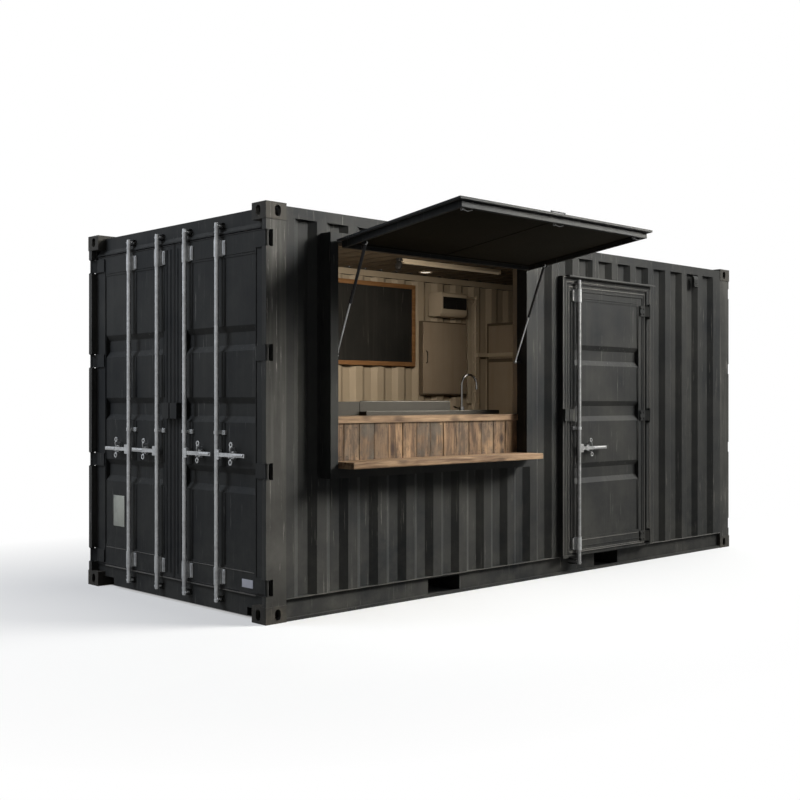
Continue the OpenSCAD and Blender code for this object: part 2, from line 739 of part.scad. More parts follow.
module right_outer_bar() color(galvanised) cargo_bar(outer_bar_y);
module right_inner_bar() color(galvanised) cargo_bar(inner_bar_y);
module left_inner_bar() color(galvanised) mirror([0, 1, 0]) cargo_bar(inner_bar_y);
module left_outer_bar() color(galvanised) mirror([0, 1, 0]) cargo_bar(outer_bar_y);

module side_door() color(paint) translate([side_door_x1, side_door_y, 0]) mirror([1, 0, 0])
    door_leaf(side_door_x1 - side_door_x0, side_door_z0, side_door_z1, side_stile, side_stile, 135,
        side_band_zs, side_door_t);

module side_door_fittings() color(galvanised) {
    translate([side_bar_ax, side_door_y, side_door_z1 - 150]) bearing(110);
    translate([side_bar_ax, side_door_y, side_door_z0 + 30]) bearing(110);
    translate([side_bar_ax, side_door_y, 1275]) bearing(24);
    translate([side_bar_ax + 140, side_door_y, side_handle_z]) handle_rest();
    box([side_door_x0 + 4, side_door_y - 30, 1350], [side_bar_ax - bearing_r - 20, side_door_y, 1457]);
    for (z = side_hinge_zs) translate([0, 0, z - side_hinge_h / 2]) linear_extrude(side_hinge_h) difference() {
        union() {
            translate([side_pin_x, side_pin_y]) circle(r = 13);
            polygon([[side_pin_x, side_pin_y - 13], [side_pin_x, side_pin_y + 8],
                [doorway_x1 - doorway_member - 3, side_pin_y + 8], [side_door_x1 - 6, side_door_y],
                [side_door_x1 - 95, side_door_y], [side_door_x1 - 95, side_door_y - 10], [side_door_x1 - 20, side_door_y - 12]]);
        }
        translate([side_pin_x, side_pin_y]) circle(r = pin_r + bearing_gap);
    }
}

module side_lock_bar() color(galvanised) translate([side_bar_ax, side_bar_ay, 0])
    lock_bar(bar_bottom + 5, side_bar_top, side_handle_z, handle_l + 40);

// Two plates over and under a cam, out from a face. y from the plates' tips into the face
module keeper(depth) {
    for (z = [-keeper_gap - 8, cam_t + keeper_gap]) box([-26, 0, z], [26, depth, z + 8]);
}

module bar_keepers() color(paint) {
    tip = bar_r + 7;
    both_sides() for (y = [inner_bar_y, outer_bar_y]) {
        translate([x0 + bar_in + tip, -y, cam_z1]) rotate([0, 0, -90]) keeper(header_in - bar_in - tip);
        translate([x0 + bar_in + tip, -y, cam_z0]) rotate([0, 0, -90]) keeper(sill_in - bar_in - tip);
    }
    translate([side_bar_ax, side_bar_ay + tip, cam_z0 + 5])
        keeper(y0 + casting_proud + rail_groove - side_bar_ay - tip);
}

// ---------- awning and struts ----------

// Turns shapes made in the closed pose, about the awning's pins, into the open pose
module open_awning() {
    translate([0, awning_pin_y, awning_pin_z]) rotate([-awning_swing, 0, 0]) children();
}

module awning_panel() color(paint) open_awning() {
    side = awning_gap;
    bottom = -awning_l + awning_lap;
    box([opening_x0 - awning_lap, -awning_sheet_w - awning_sheet, -awning_l],
        [opening_x1 + awning_lap, -awning_sheet_w, 0]);
    difference() {
        box([opening_x0 + side, -awning_sheet_w, bottom], [opening_x1 - side, awning_frame_h - awning_sheet_w, -12]);
        box([opening_x0 + side + awning_bar, -awning_sheet_w - slack, bottom + awning_bar],
            [opening_x1 - side - awning_bar, awning_frame_h, -12 - awning_bar]);
    }
    // moving halves of its hinges
    for (x = awning_hinge_xs) difference() {
        union() {
            translate([x - 29, 0, 0]) rotate([0, 90, 0]) cylinder(r = awning_sheet_w, h = 58);
            box([x - 29, -awning_sheet_w, -20], [x + 29, -4.5, 0]);
        }
        translate([x - 30, 0, 0]) rotate([0, 90, 0]) cylinder(r = 4 + bearing_gap, h = 60);
    }
}

// Plate that carries the upper end of a strut
module strut_plate() {
    face = opening_x0 + awning_gap + awning_bar;
    box([face, 10, -strut_reach - 22], [face + 6, strut_drop + 14, -strut_reach + 22]);
}

module awning_fittings() color(galvanised) open_awning() {
    strut_plate();
    translate([opening_x0 + opening_x1, 0, 0]) mirror([1, 0, 0]) strut_plate();
    // pull handle near the front edge
    mid = (opening_x0 + opening_x1) / 2;
    face = -awning_sheet_w - awning_sheet;
    for (s = [-1, 1]) translate([mid + s * 75, face, -awning_l + 60]) rotate([90, 0, 0]) cylinder(r = 5, h = 32);
    translate([mid - 80, face - 32, -awning_l + 60]) rotate([0, 90, 0]) cylinder(r = 5, h = 160);
}

// The open strut's ends, its length and its lean
upper_pivot = [awning_pin_y - strut_reach * cos(awning_tilt) + strut_drop * sin(awning_tilt) * -1,
    awning_pin_z + strut_reach * sin(awning_tilt) - strut_drop * cos(awning_tilt)];
lower_pivot = [y0 - strut_low_out, strut_low_z];
strut_span = upper_pivot - lower_pivot;
strut_l = norm(strut_span);
strut_lean = atan2(-strut_span[0], strut_span[1]);

// Places a strut, made upright on its lower pin, on both sides of the hatch
module at_struts() {
    for (x = [opening_x0 + strut_lane, opening_x1 - strut_lane])
        translate([x, lower_pivot[0], lower_pivot[1]]) rotate([strut_lean, 0, 0]) children();
}

module strut_rods() color(galvanised) at_struts() difference() {
    union() {
        translate([-8, 0, 0]) rotate([0, 90, 0]) cylinder(r = 11, h = 16);
        cylinder(r = strut_rod_r, h = strut_l - strut_cyl_l + 60);
    }
    translate([-9, 0, 0]) rotate([0, 90, 0]) cylinder(r = 5 + bearing_gap, h = 18);
}

module strut_cylinders() color("#1c1c1d") at_struts() {
    difference() {
        translate([0, 0, strut_l - strut_cyl_l]) cylinder(r = strut_r, h = strut_cyl_l - 14);
        translate([0, 0, strut_l - strut_cyl_l - slack]) cylinder(r = strut_rod_r + bearing_gap, h = strut_cyl_l - 60);
    }
    translate([-8, 0, strut_l]) rotate([0, 90, 0]) cylinder(r = 11, h = 16);
    translate([0, 0, strut_l - 20]) cylinder(r = 7, h = 14);
}

// ---------- wall and room pieces ----------

back_inner = y1 - wall_in;

module menu_board() color("#7a5a3a")
    box([x0 + 2590, back_inner - 32, 1890], [x0 + 3770, back_inner, 2750]);

module air_unit() color("#b5a88f")
    box([x0 + 3990, back_inner - 200, 2430], [x0 + 4394, back_inner, 2690]);

module wall_cabinet() color("#a39273")
    box([x0 + 3848, back_inner - 60, 1590], [x0 + 4543, back_inner, 2380]);

module wall_conduit() color("#b9ad95") {
    translate([x0 + 4730, back_inner - 12, 1500]) cylinder(r = 12, h = 1190);
    translate([x0 + 4394, back_inner - 12, 2668]) rotate([0, 90, 0]) cylinder(r = 12, h = 336);
    box([x0 + 4598, back_inner - 22, 1500], [x0 + 4650, back_inner, 2650]);
    box([x0 + 4742, back_inner - 40, 2020], [x0 + 4930, back_inner, 2062]);
}

module tall_cupboard() color("#8d7f68")
    box([x0 + 4930, y1 - 640, floor_top], [x0 + 5600, back_inner, 2400]);

module ceiling_light() color("#cfc6b2")
    box([x0 + 2690, y0 + 1430, roof_top - roof_depth - sheet_t - 48], [x0 + 4070, y0 + 1480, roof_top - roof_depth - sheet_t]);

corner_castings();
corner_posts();
top_side_rails();
bottom_side_rails();
door_header();
door_sill();
end_rails();
floor();
cross_members();
fork_pockets();
roof();
end_wall();
back_wall();
front_wall_uprights();
front_wall_infills();
hatch_frame();
serving_ledge();
counter_front();
counter_base();
counter_top();
sink_unit();
tap();
doorway_frame();
bar_keepers();
menu_board();
air_unit();
wall_cabinet();
wall_conduit();
tall_cupboard();
ceiling_light();
awning_panel();
awning_fittings();
strut_rods();
strut_cylinders();
side_door();
side_door_fittings();
side_lock_bar();
right_door();
right_door_fittings();
left_door();
left_door_fittings();
right_outer_bar();
right_inner_bar();
left_inner_bar();
left_outer_bar();
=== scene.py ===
import math

import bmesh
import bpy
from mathutils import Matrix, Vector


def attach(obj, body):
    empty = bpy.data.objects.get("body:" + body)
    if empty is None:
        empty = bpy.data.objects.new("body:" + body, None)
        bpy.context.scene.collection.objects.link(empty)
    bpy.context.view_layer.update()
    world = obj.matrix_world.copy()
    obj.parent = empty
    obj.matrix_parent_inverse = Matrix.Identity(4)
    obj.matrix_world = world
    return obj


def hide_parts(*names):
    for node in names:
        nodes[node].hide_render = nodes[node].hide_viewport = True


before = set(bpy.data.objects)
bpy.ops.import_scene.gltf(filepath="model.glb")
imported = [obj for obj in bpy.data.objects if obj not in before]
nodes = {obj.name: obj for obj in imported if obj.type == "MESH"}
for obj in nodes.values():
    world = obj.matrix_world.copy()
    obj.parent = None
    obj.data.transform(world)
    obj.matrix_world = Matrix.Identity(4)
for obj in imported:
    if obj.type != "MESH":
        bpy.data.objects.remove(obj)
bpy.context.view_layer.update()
print("frame loaded:", len(nodes), "nodes")

# the container's own lines, in metres: the origin is the middle of its footprint
body = {"doorEnd": -3.029, "farEnd": 3.029, "front": -1.219, "back": 1.219}
hatch = {"x0": -2.542, "x1": -0.328, "member": 0.070, "proud": 0.107}
hatch["openX0"] = hatch["x0"] + hatch["member"]
hatch["openX1"] = hatch["x1"] - hatch["member"]
hatch["face"] = body["front"] - hatch["proud"]
awning = {"pinY": hatch["face"] - 0.012, "pinZ": 2.655, "tilt": math.radians(7.5), "length": 1.208}


# small tools for meshes

def addBox(bm, low, high, mat=0):
    xs, ys, zs = zip(low, high)
    corners = [bm.verts.new((x, y, z)) for x in xs for y in ys for z in zs]
    for face in ((0, 1, 3, 2), (4, 6, 7, 5), (0, 4, 5, 1), (2, 3, 7, 6), (0, 2, 6, 4), (1, 5, 7, 3)):
        bm.faces.new([corners[i] for i in face]).material_index = mat


def addTube(bm, path, radius, segments=16, mat=0, radii=None):
    # a round bar through the points of path, with closed ends
    points = [Vector(p) for p in path]
    rings = []
    side = None
    for i, point in enumerate(points):
        ahead = points[min(i + 1, len(points) - 1)] - points[max(i - 1, 0)]
        ahead.normalize()
        if side is None:
            side = ahead.orthogonal().normalized()
        else:
            side = (side - ahead * side.dot(ahead)).normalized()
        up = ahead.cross(side)
        size = radii[i] if radii else radius
        rings.append([bm.verts.new(point + (side * math.cos(t) + up * math.sin(t)) * size)
                      for t in (2 * math.pi * k / segments for k in range(segments))])
    for a, b in zip(rings, rings[1:]):
        for k in range(segments):
            n = (k + 1) % segments
            bm.faces.new((a[k], a[n], b[n], b[k])).material_index = mat
    bm.faces.new(rings[0][::-1]).material_index = mat
    bm.faces.new(rings[-1]).material_index = mat


def addPrism(bm, outline, axis, start, end, mat=0):
    # a flat outline pushed along an axis: the outline's two numbers are the other two axes in order
    def place(p, along):
        spot = list(p)
        spot.insert(axis, along)
        return spot
    low = [bm.verts.new(place(p, start)) for p in outline]
    high = [bm.verts.new(place(p, end)) for p in outline]
    count = len(outline)
    for k in range(count):
        n = (k + 1) % count
        bm.faces.new((low[k], low[n], high[n], high[k])).material_index = mat
    bm.faces.new(low[::-1]).material_index = mat
    bm.faces.new(high).material_index = mat


def addRing(bm, centre, axis, outer, inner, thick, segments=20, mat=0):
    # a washer or hoop: centre is the middle of its hole
    axis = Vector(axis).normalized()
    side = axis.orthogonal().normalized()
    up = axis.cross(side)
    loops = []
    for radius, shift in ((outer, -0.5), (outer, 0.5), (inner, 0.5), (inner, -0.5)):
        middle = Vector(centre) + axis * thick * shift
        loops.append([bm.verts.new(middle + (side * math.cos(t) + up * math.sin(t)) * radius)
                      for t in (2 * math.pi * k / segments for k in range(segments))])
    for a, b in zip(loops, loops[1:] + loops[:1]):
        for k in range(segments):
            n = (k + 1) % segments
            bm.faces.new((a[k], a[n], b[n], b[k])).material_index = mat


def settle(mesh, sharpAngle=0.6):
    # merges doubles, turns faces outwards and keeps only the sharp edges sharp
    bm = bmesh.new()
    bm.from_mesh(mesh)
    bmesh.ops.remove_doubles(bm, verts=bm.verts, dist=0.00001)
    bmesh.ops.recalc_face_normals(bm, faces=bm.faces)
    for face in bm.faces:
        face.smooth = True
    for edge in bm.edges:
        edge.smooth = len(edge.link_faces) == 2 and edge.calc_face_angle(3.0) < sharpAngle
    bm.to_mesh(mesh)
    bm.free()


def makePiece(name, bm, bodyName, mats, bevel=0.0, segments=2):
    mesh = bpy.data.meshes.new(name)
    bmesh.ops.recalc_face_normals(bm, faces=bm.faces)
    bm.to_mesh(mesh)
    bm.free()
    piece = bpy.data.objects.new(name, mesh)
    bpy.context.scene.collection.objects.link(piece)
    for mat in mats:
        mesh.materials.append(mat)
    if bevel:
        soften = piece.modifiers.new("soften", "BEVEL")
        soften.width = bevel
        soften.segments = segments
        soften.limit_method = "ANGLE"
        soften.angle_limit = 0.7
        bpy.context.view_layer.update()
        made = bpy.data.meshes.new_from_object(piece.evaluated_get(bpy.context.evaluated_depsgraph_get()))
        piece.modifiers.clear()
        piece.data = made
    settle(piece.data)
    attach(piece, bodyName)
    return piece


# shared effects

def newGroup(name, inputs, outputs):
    group = bpy.data.node_groups.new(name, "ShaderNodeTree")
    for label, kind, value in inputs:
        socket = group.interface.new_socket(label, in_out="INPUT", socket_type=kind)
        if value is not None:
            socket.default_value = value
    for label, kind in outputs:
        group.interface.new_socket(label, in_out="OUTPUT", socket_type=kind)
    return group, group.nodes.new("NodeGroupInput"), group.nodes.new("NodeGroupOutput")


def addNode(tree, kind, inputs=None, **settings):
    node = tree.nodes.new(kind)
    for key, value in settings.items():
        setattr(node, key, value)
    for key, value in (inputs or {}).items():
        socket = node.inputs[key]
        if isinstance(value, bpy.types.NodeSocket):
            tree.links.new(value, socket)
        else:
            socket.default_value = value
    return node


def mathNode(tree, operation, a, b=0.0, c=0.0, clamp=False):
    return addNode(tree, "ShaderNodeMath", {0: a, 1: b, 2: c}, operation=operation,
                   use_clamp=clamp).outputs[0]


def stretch(tree, vector, scale):
    return addNode(tree, "ShaderNodeMapping", {"Vector": vector, "Scale": scale}).outputs[0]


def noise(tree, vector, scale, detail=3.0, roughness=0.55):
    return addNode(tree, "ShaderNodeTexNoise", {"Vector": vector, "Scale": scale, "Detail": detail,
            "Roughness": roughness}).outputs["Fac"]


def remap(tree, value, low, high, toLow=0.0, toHigh=1.0):
    return addNode(tree, "ShaderNodeMapRange", {"Value": value, "From Min": low, "From Max": high,
            "To Min": toLow, "To Max": toHigh}).outputs[0]


def mixColor(tree, factor, a, b, blend="MIX"):
    node = addNode(tree, "ShaderNodeMix", data_type="RGBA", blend_type=blend)
    for socket, value in ((node.inputs[0], factor), (node.inputs[6], a), (node.inputs[7], b)):
        if isinstance(value, bpy.types.NodeSocket):
            tree.links.new(value, socket)
        else:
            socket.default_value = value
    return node.outputs[2]


def makeWeathering():
    # dust near the ground, rain streaks, rubbed scratches and a fine spray texture on a painted sheet
    group, given, out = newGroup("weathering", [
        ("Vector", "NodeSocketVector", None), ("Paint", "NodeSocketColor", (0.05, 0.05, 0.05, 1)),
        ("Dust", "NodeSocketColor", (0.2, 0.18, 0.15, 1)), ("Dust Amount", "NodeSocketFloat", 0.4),
        ("Streak Amount", "NodeSocketFloat", 0.3), ("Scratch Amount", "NodeSocketFloat", 0.3),
        ("Sheen Low", "NodeSocketFloat", 0.4), ("Sheen High", "NodeSocketFloat", 0.65)],
        [("Color", "NodeSocketColor"), ("Roughness", "NodeSocketFloat"), ("Height", "NodeSocketFloat")])
    vector = given.outputs["Vector"]
    cloud = noise(group, vector, 1.6, 5.0)
    fine = noise(group, vector, 70.0, 3.0)
    streak = remap(group, noise(group, stretch(group, vector, (16, 16, 0.7)), 1.0, 4.0), 0.52, 0.78)
    scratch = remap(group, noise(group, stretch(group, vector, (55, 55, 2.2)), 1.0, 6.0, 0.7), 0.605, 0.665)
    scratch = mathNode(group, "MULTIPLY", scratch, remap(group, noise(group, vector, 2.4, 2.0), 0.42, 0.6))
    height = addNode(group, "ShaderNodeSeparateXYZ", {0: vector}).outputs[2]
    low = remap(group, height, 0.9, 0.05)
    low = mathNode(group, "MULTIPLY", low, remap(group, noise(group, vector, 6.0, 5.0, 0.65), 0.42, 0.7))
    tone = mixColor(group, remap(group, cloud, 0.3, 0.7), given.outputs["Paint"],
                    mixColor(group, 0.35, given.outputs["Paint"], given.outputs["Dust"]))
    tone = mixColor(group, mathNode(group, "MULTIPLY", low, given.outputs["Dust Amount"]),
                    tone, given.outputs["Dust"])
    tone = mixColor(group, mathNode(group, "MULTIPLY", streak, given.outputs["Streak Amount"]),
                    tone, given.outputs["Dust"])
    pale = mixColor(group, 0.6, given.outputs["Dust"], (0.5, 0.47, 0.42, 1))
    tone = mixColor(group, mathNode(group, "MULTIPLY", scratch, given.outputs["Scratch Amount"]), tone, pale)
    shine = mathNode(group, "ADD", mathNode(group, "MULTIPLY", cloud, 0.5),
                     mathNode(group, "MULTIPLY", fine, 0.5))
    rough = addNode(group, "ShaderNodeMapRange", {"Value": shine, "From Min": 0.3, "From Max": 0.7,
                    "To Min": given.outputs["Sheen Low"], "To Max": given.outputs["Sheen High"]}).outputs[0]
    bump = mathNode(group, "ADD", mathNode(group, "MULTIPLY", fine, 0.25),
                    mathNode(group, "MULTIPLY", noise(group, vector, 9.0, 2.0), 0.75))
    group.links.new(tone, out.inputs["Color"])
    group.links.new(rough, out.inputs["Roughness"])
    group.links.new(bump, out.inputs["Height"])
    return group


def makeWoodGrain():
    # long fibres and growth bands along X of the vector it is given, with a few knots
    group, given, out = newGroup("woodGrain", [
        ("Vector", "NodeSocketVector", None), ("Light", "NodeSocketColor", (0.5, 0.3, 0.15, 1)),
        ("Dark", "NodeSocketColor", (0.2, 0.1, 0.04, 1)), ("Contrast", "NodeSocketFloat", 0.7),
                ("Knots", "NodeSocketFloat", 0.5)],
        [("Color", "NodeSocketColor"), ("Roughness", "NodeSocketFloat"), ("Height", "NodeSocketFloat")])
    vector = given.outputs["Vector"]
    warp = addNode(group, "ShaderNodeTexNoise", {"Vector": stretch(group, vector, (1.2, 5.0, 5.0)),
            "Scale": 1.0, "Detail": 2.0}).outputs["Color"]
    bent = addNode(group, "ShaderNodeVectorMath", {0: vector, 1: addNode(group, "ShaderNodeVectorMath",
                   {0: warp, "Scale": 0.12}, operation="SCALE").outputs[0]}, operation="ADD").outputs[0]
    bands = noise(group, stretch(group, bent, (1.6, 28.0, 28.0)), 1.0, 4.0, 0.6)
    fibre = noise(group, stretch(group, vector, (6.0, 240.0, 240.0)), 1.0, 2.0)
    spots = addNode(group, "ShaderNodeTexVoronoi", {"Vector": stretch(group, vector, (4.2, 8.5, 8.5)),
            "Scale": 1.0, "Randomness": 1.0}).outputs["Distance"]
    knot = mathNode(group, "MULTIPLY", remap(group, spots, 0.30, 0.12), given.outputs["Knots"])
    shade = mathNode(group, "MULTIPLY", remap(group, bands, 0.32, 0.66), given.outputs["Contrast"])
    shade = mathNode(group, "ADD", shade, mathNode(group, "MULTIPLY",
            remap(group, fibre, 0.4, 0.75), 0.4), clamp=True)
    tone = mixColor(group, shade, given.outputs["Light"], given.outputs["Dark"])
    tone = mixColor(group, knot, tone, (0.035, 0.018, 0.01, 1))
    rough = remap(group, fibre, 0.2, 0.8, 0.5, 0.72)
    high = mathNode(group, "SUBTRACT", 1.0, mathNode(group, "ADD", mathNode(group, "MULTIPLY", shade, 0.5),
            mathNode(group, "MULTIPLY", fibre, 0.5)))
    group.links.new(tone, out.inputs["Color"])
    group.links.new(rough, out.inputs["Roughness"])
    group.links.new(high, out.inputs["Height"])
    return group


weathering = makeWeathering()
woodGrain = makeWoodGrain()


def startMaterial(name, **shader):
    mat = bpy.data.materials.new(name)
    mat.use_nodes = True
    tree = mat.node_tree
    bsdf = tree.nodes["Principled BSDF"]
    for label, value in shader.items():
        bsdf.inputs[label.replace("_", " ")].default_value = value
    vector = tree.nodes.new("ShaderNodeTexCoord").outputs["Object"]
    return mat, tree, bsdf, vector


def addBump(tree, bsdf, height, strength, distance):
    bump = addNode(tree, "ShaderNodeBump", {"Height": height, "Strength": strength, "Distance": distance})
    tree.links.new(bump.outputs[0], bsdf.inputs["Normal"])


def paintMaterial(name, paint, dust, amounts, sheen, metallic=0.0, bump=0.0015, specular=0.3):
    mat, tree, bsdf, vector = startMaterial(name, Metallic=metallic, Specular_IOR_Level=specular)
    skin = addNode(tree, "ShaderNodeGroup", node_tree=weathering)
    for label, value in (("Paint", (*paint, 1)), ("Dust", (*dust, 1)), ("Dust Amount", amounts[0]),
                         ("Streak Amount", amounts[1]),
                         ("Scratch Amount", amounts[2]), ("Sheen Low", sheen[0]), ("Sheen High", sheen[1])):
        skin.inputs[label].default_value = value
    tree.links.new(vector, skin.inputs["Vector"])
    tree.links.new(skin.outputs["Color"], bsdf.inputs["Base Color"])
    tree.links.new(skin.outputs["Roughness"], bsdf.inputs["Roughness"])
    addBump(tree, bsdf, skin.outputs["Height"], 0.5, bump)
    return mat


def changeAbove(mat, level, color):
    # the inside paint stops at the roof, and what stands above it has the outside color
    tree = mat.node_tree
    slot = tree.nodes["Principled BSDF"].inputs["Base Color"]
    height = addNode(tree, "ShaderNodeSeparateXYZ",
                     {0: tree.nodes.new("ShaderNodeTexCoord").outputs["Object"]}).outputs[2]
    mask = mathNode(tree, "GREATER_THAN", height, level)
    tree.links.new(mixColor(tree, mask, slot.links[0].from_socket, (*color, 1)), slot)


def woodMaterial(name, light, dark, scale=(1, 1, 1), turn=(0, 0, 0), contrast=0.7,
                 knots=0.5, boards=None, coat=0.0):
    mat, tree, bsdf, vector = startMaterial(name, Coat_Weight=coat,
            Coat_Roughness=0.35, Specular_IOR_Level=0.18)
    place = addNode(tree, "ShaderNodeMapping", {"Vector": vector, "Scale": scale,
            "Rotation": turn}).outputs[0]
    tint = None
    if boards:
        # each board has its own tone and its own piece of grain
        axis, start, width = boards
        along = addNode(tree, "ShaderNodeSeparateXYZ", {0: vector}).outputs[axis]
        index = mathNode(tree, "FLOOR", mathNode(tree, "DIVIDE",
                mathNode(tree, "SUBTRACT", along, start), width))
        random = addNode(tree, "ShaderNodeTexWhiteNoise", {"W": index}, noise_dimensions="1D")
        place = addNode(tree, "ShaderNodeVectorMath", {0: place, 1: addNode(tree, "ShaderNodeVectorMath",
                        {0: random.outputs["Color"], "Scale": 9.0}, operation="SCALE").outputs[0]},
                        operation="ADD").outputs[0]
        tint = random.outputs["Value"]
    grain = tree.nodes.new("ShaderNodeGroup")
    grain.node_tree = woodGrain
    tree.links.new(place, grain.inputs["Vector"])
    for label, value in (("Light", (*light, 1)), ("Dark", (*dark, 1)),
                         ("Contrast", contrast), ("Knots", knots)):
        grain.inputs[label].default_value = value
    color = grain.outputs["Color"]
    if tint:
        color = mixColor(tree, remap(tree, tint, 0.2, 1.0, 0.0, 0.9), color,
                         mixColor(tree, 0.65, color, (0.065, 0.042, 0.027, 1)))
        grey = remap(tree, addNode(tree, "ShaderNodeTexWhiteNoise",
                                   {"W": mathNode(tree, "ADD", index, 41.3)},
                                   noise_dimensions="1D").outputs["Value"], 0.35, 0.9, 0.0, 0.85)
        patch = remap(tree, noise(tree, place, 7.0, 4.0, 0.65), 0.40, 0.60)
        color = mixColor(tree, mathNode(tree, "MULTIPLY", grey, patch), color, (0.098, 0.082, 0.062, 1))
        stain = remap(tree, noise(tree, stretch(tree, place, (1.0, 3.0, 3.0)), 6.5, 5.0,
                                  0.72), 0.45, 0.62, 0.0, 0.9)
        color = mixColor(tree, stain, color, mixColor(tree, 0.7, color, (0.045, 0.03, 0.02, 1)))
    tree.links.new(color, bsdf.inputs["Base Color"])
    tree.links.new(grain.outputs["Roughness"], bsdf.inputs["Roughness"])
    addBump(tree, bsdf, grain.outputs["Height"], 0.6, 0.0012)
    return mat


def metalMaterial(name, color, low, high, stain=0.3, brushed=(1, 1, 1), spangle=0.0, metallic=0.9):
    mat, tree, bsdf, vector = startMaterial(name, Metallic=metallic)
    cloud = noise(tree, vector, 7.0, 4.0, 0.6)
    lines = noise(tree, stretch(tree, vector, brushed), 60.0, 2.0)
    dark = tuple(c * 0.45 for c in color)
    tone = mixColor(tree, remap(tree, cloud, 0.45, 0.75, 0.0, stain), (*color, 1), (*dark, 1))
    if spangle:
        cell = addNode(tree, "ShaderNodeSeparateColor",
                       {0: addNode(tree, "ShaderNodeTexVoronoi",
                                   {"Vector": vector, "Scale": 45.0}).outputs["Color"]}).outputs[0]
        tone = mixColor(tree, spangle, tone, cell, "SOFT_LIGHT")
    tree.links.new(tone, bsdf.inputs["Base Color"])
    rough = mathNode(tree, "ADD", mathNode(tree, "MULTIPLY", lines, 0.5),
                     mathNode(tree, "MULTIPLY", cloud, 0.5))
    tree.links.new(remap(tree, rough, 0.3, 0.7, low, high), bsdf.inputs["Roughness"])
    addBump(tree, bsdf, lines, 0.25, 0.0004)
    return mat


darkTone = (0.022, 0.0235, 0.0245)
creamTone, creamDust = (0.47, 0.405, 0.315), (0.25, 0.19, 0.12)
roofLine = 2.8605
darkPaint = paintMaterial("dark paint", darkTone, (0.12, 0.115, 0.10), (0.30, 0.10, 0.35),
                          (0.42, 0.62), specular=0.04)
# pale edge paint for narrow edges and lips: partly wear, partly a painted highlight of the light these edges
# catch
wornAndLitPaint = paintMaterial("edge paint, wear and painted highlight", (0.085, 0.085, 0.08), (0.22, 0.20, 0.17),
                          (0.5, 0.4, 0.6), (0.4, 0.6), specular=0.2)
labelPaint = paintMaterial("blank label", (0.80, 0.79, 0.84), (0.3, 0.28, 0.26),
                           (0.3, 0.2, 0.2), (0.4, 0.6), bump=0.0003)
postPaint = paintMaterial("post paint", (0.029, 0.0285, 0.026), (0.155, 0.15, 0.135),
                          (0.30, 0.45, 1.0), (0.5, 0.7), specular=0.07)
railPaint = paintMaterial("cream rail paint", creamTone, creamDust, (0.15, 0.12, 0.1), (0.5, 0.7))
changeAbove(railPaint, roofLine, darkTone)
castingPaint = paintMaterial("casting paint", (0.030, 0.031, 0.029), (0.14, 0.12, 0.095), (0.5, 0.2, 0.45),
                             (0.45, 0.7), bump=0.003, specular=0.07)
creamPaint = paintMaterial("cream wall paint", creamTone, creamDust, (0.15, 0.12, 0.1), (0.5, 0.7))
creamCase = paintMaterial("cream case", (0.55, 0.48, 0.38), (0.30, 0.24, 0.16),
                          (0.05, 0.05, 0.05), (0.35, 0.5), bump=0.0006)
creamPanel = paintMaterial("cabinet paint", (0.40, 0.335, 0.26), (0.22, 0.16, 0.11),
                           (0.1, 0.25, 0.15), (0.4, 0.6), bump=0.0006)
# dark tan for the cabinet cases, so that the gaps round doors and panels show dark: painted shade
creamPaintedShade = paintMaterial("cabinet case, painted shade", (0.13, 0.105, 0.075), (0.10, 0.075, 0.05),
                           (0.1, 0.2, 0.1), (0.5, 0.7), bump=0.0006)
# the roof's inside is painted cream like the walls; this darker tan is painted shade
ceilingShadePaint = paintMaterial("ceiling paint darkened as painted shade", (0.100, 0.080, 0.056), (0.12, 0.09, 0.06),
                             (0.1, 0.25, 0.1), (0.5, 0.7))
liningPaint = paintMaterial("awning lining", (0.011, 0.0095, 0.006), (0.04, 0.034, 0.026),
                            (0.0, 0.10, 0.05), (0.6, 0.8), bump=0.0006, specular=0.02)
blackPaint = paintMaterial("black paint", (0.012, 0.012, 0.013), (0.08, 0.075, 0.07), (0.1, 0.05, 0.1),
                           (0.25, 0.4), bump=0.0004, specular=0.12)
rubber = paintMaterial("black rubber seal", (0.012, 0.012, 0.012), (0.09, 0.085, 0.08),
                       (0.2, 0.1, 0.05), (0.6, 0.8), specular=0.15)
galvanised = metalMaterial("galvanised steel", (0.42, 0.425, 0.42), 0.45, 0.62, stain=0.4,
                           spangle=0.2, metallic=0.55)
dullSteel = metalMaterial("dull galvanised steel", (0.25, 0.25, 0.245), 0.48, 0.66, stain=0.4,
                          spangle=0.2, metallic=0.55)
stainless = metalMaterial("stainless steel", (0.050, 0.045, 0.036), 0.34, 0.52, stain=0.35,
                          brushed=(0.15, 6, 6), metallic=0.8)
chrome = metalMaterial("chrome", (0.17, 0.165, 0.155), 0.10, 0.22, stain=0.1, metallic=1.0)
chalkboard = paintMaterial("chalkboard", (0.016, 0.017, 0.017), (0.06, 0.058, 0.055), (0.0, 0.35, 0.2),
                           (0.6, 0.8), bump=0.0003, specular=0.08)
oiledWood = woodMaterial("oiled wood", (0.375, 0.25, 0.145), (0.10, 0.056, 0.030), contrast=0.85, knots=0.6)
plankWood = woodMaterial("reclaimed planks", (0.47, 0.30, 0.165), (0.080, 0.046, 0.024),
                         turn=(0, math.radians(90), 0), contrast=0.95, knots=1.0,
                         boards=(0, hatch["openX0"], 0.1481))
boardWood = woodMaterial("counter board", (0.32, 0.21, 0.12), (0.16, 0.09, 0.05), contrast=0.5, knots=0.1)
plywood = woodMaterial("plywood floor", (0.30, 0.19, 0.11), (0.15, 0.09, 0.05), contrast=0.6,
                       knots=0.15, boards=(0, -2.9, 0.61))
frameWood = woodMaterial("board frame wood", (0.33, 0.18, 0.08),
                         (0.15, 0.07, 0.028), contrast=0.6, knots=0.1)
print("materials made")


# finishes of the CAD nodes

def dress(name, mats, pick=None):
    mesh = nodes[name].data
    mesh.materials.clear()
    for mat in mats:
        mesh.materials.append(mat)
    for face in mesh.polygons:
        face.material_index = pick(face) if pick else 0
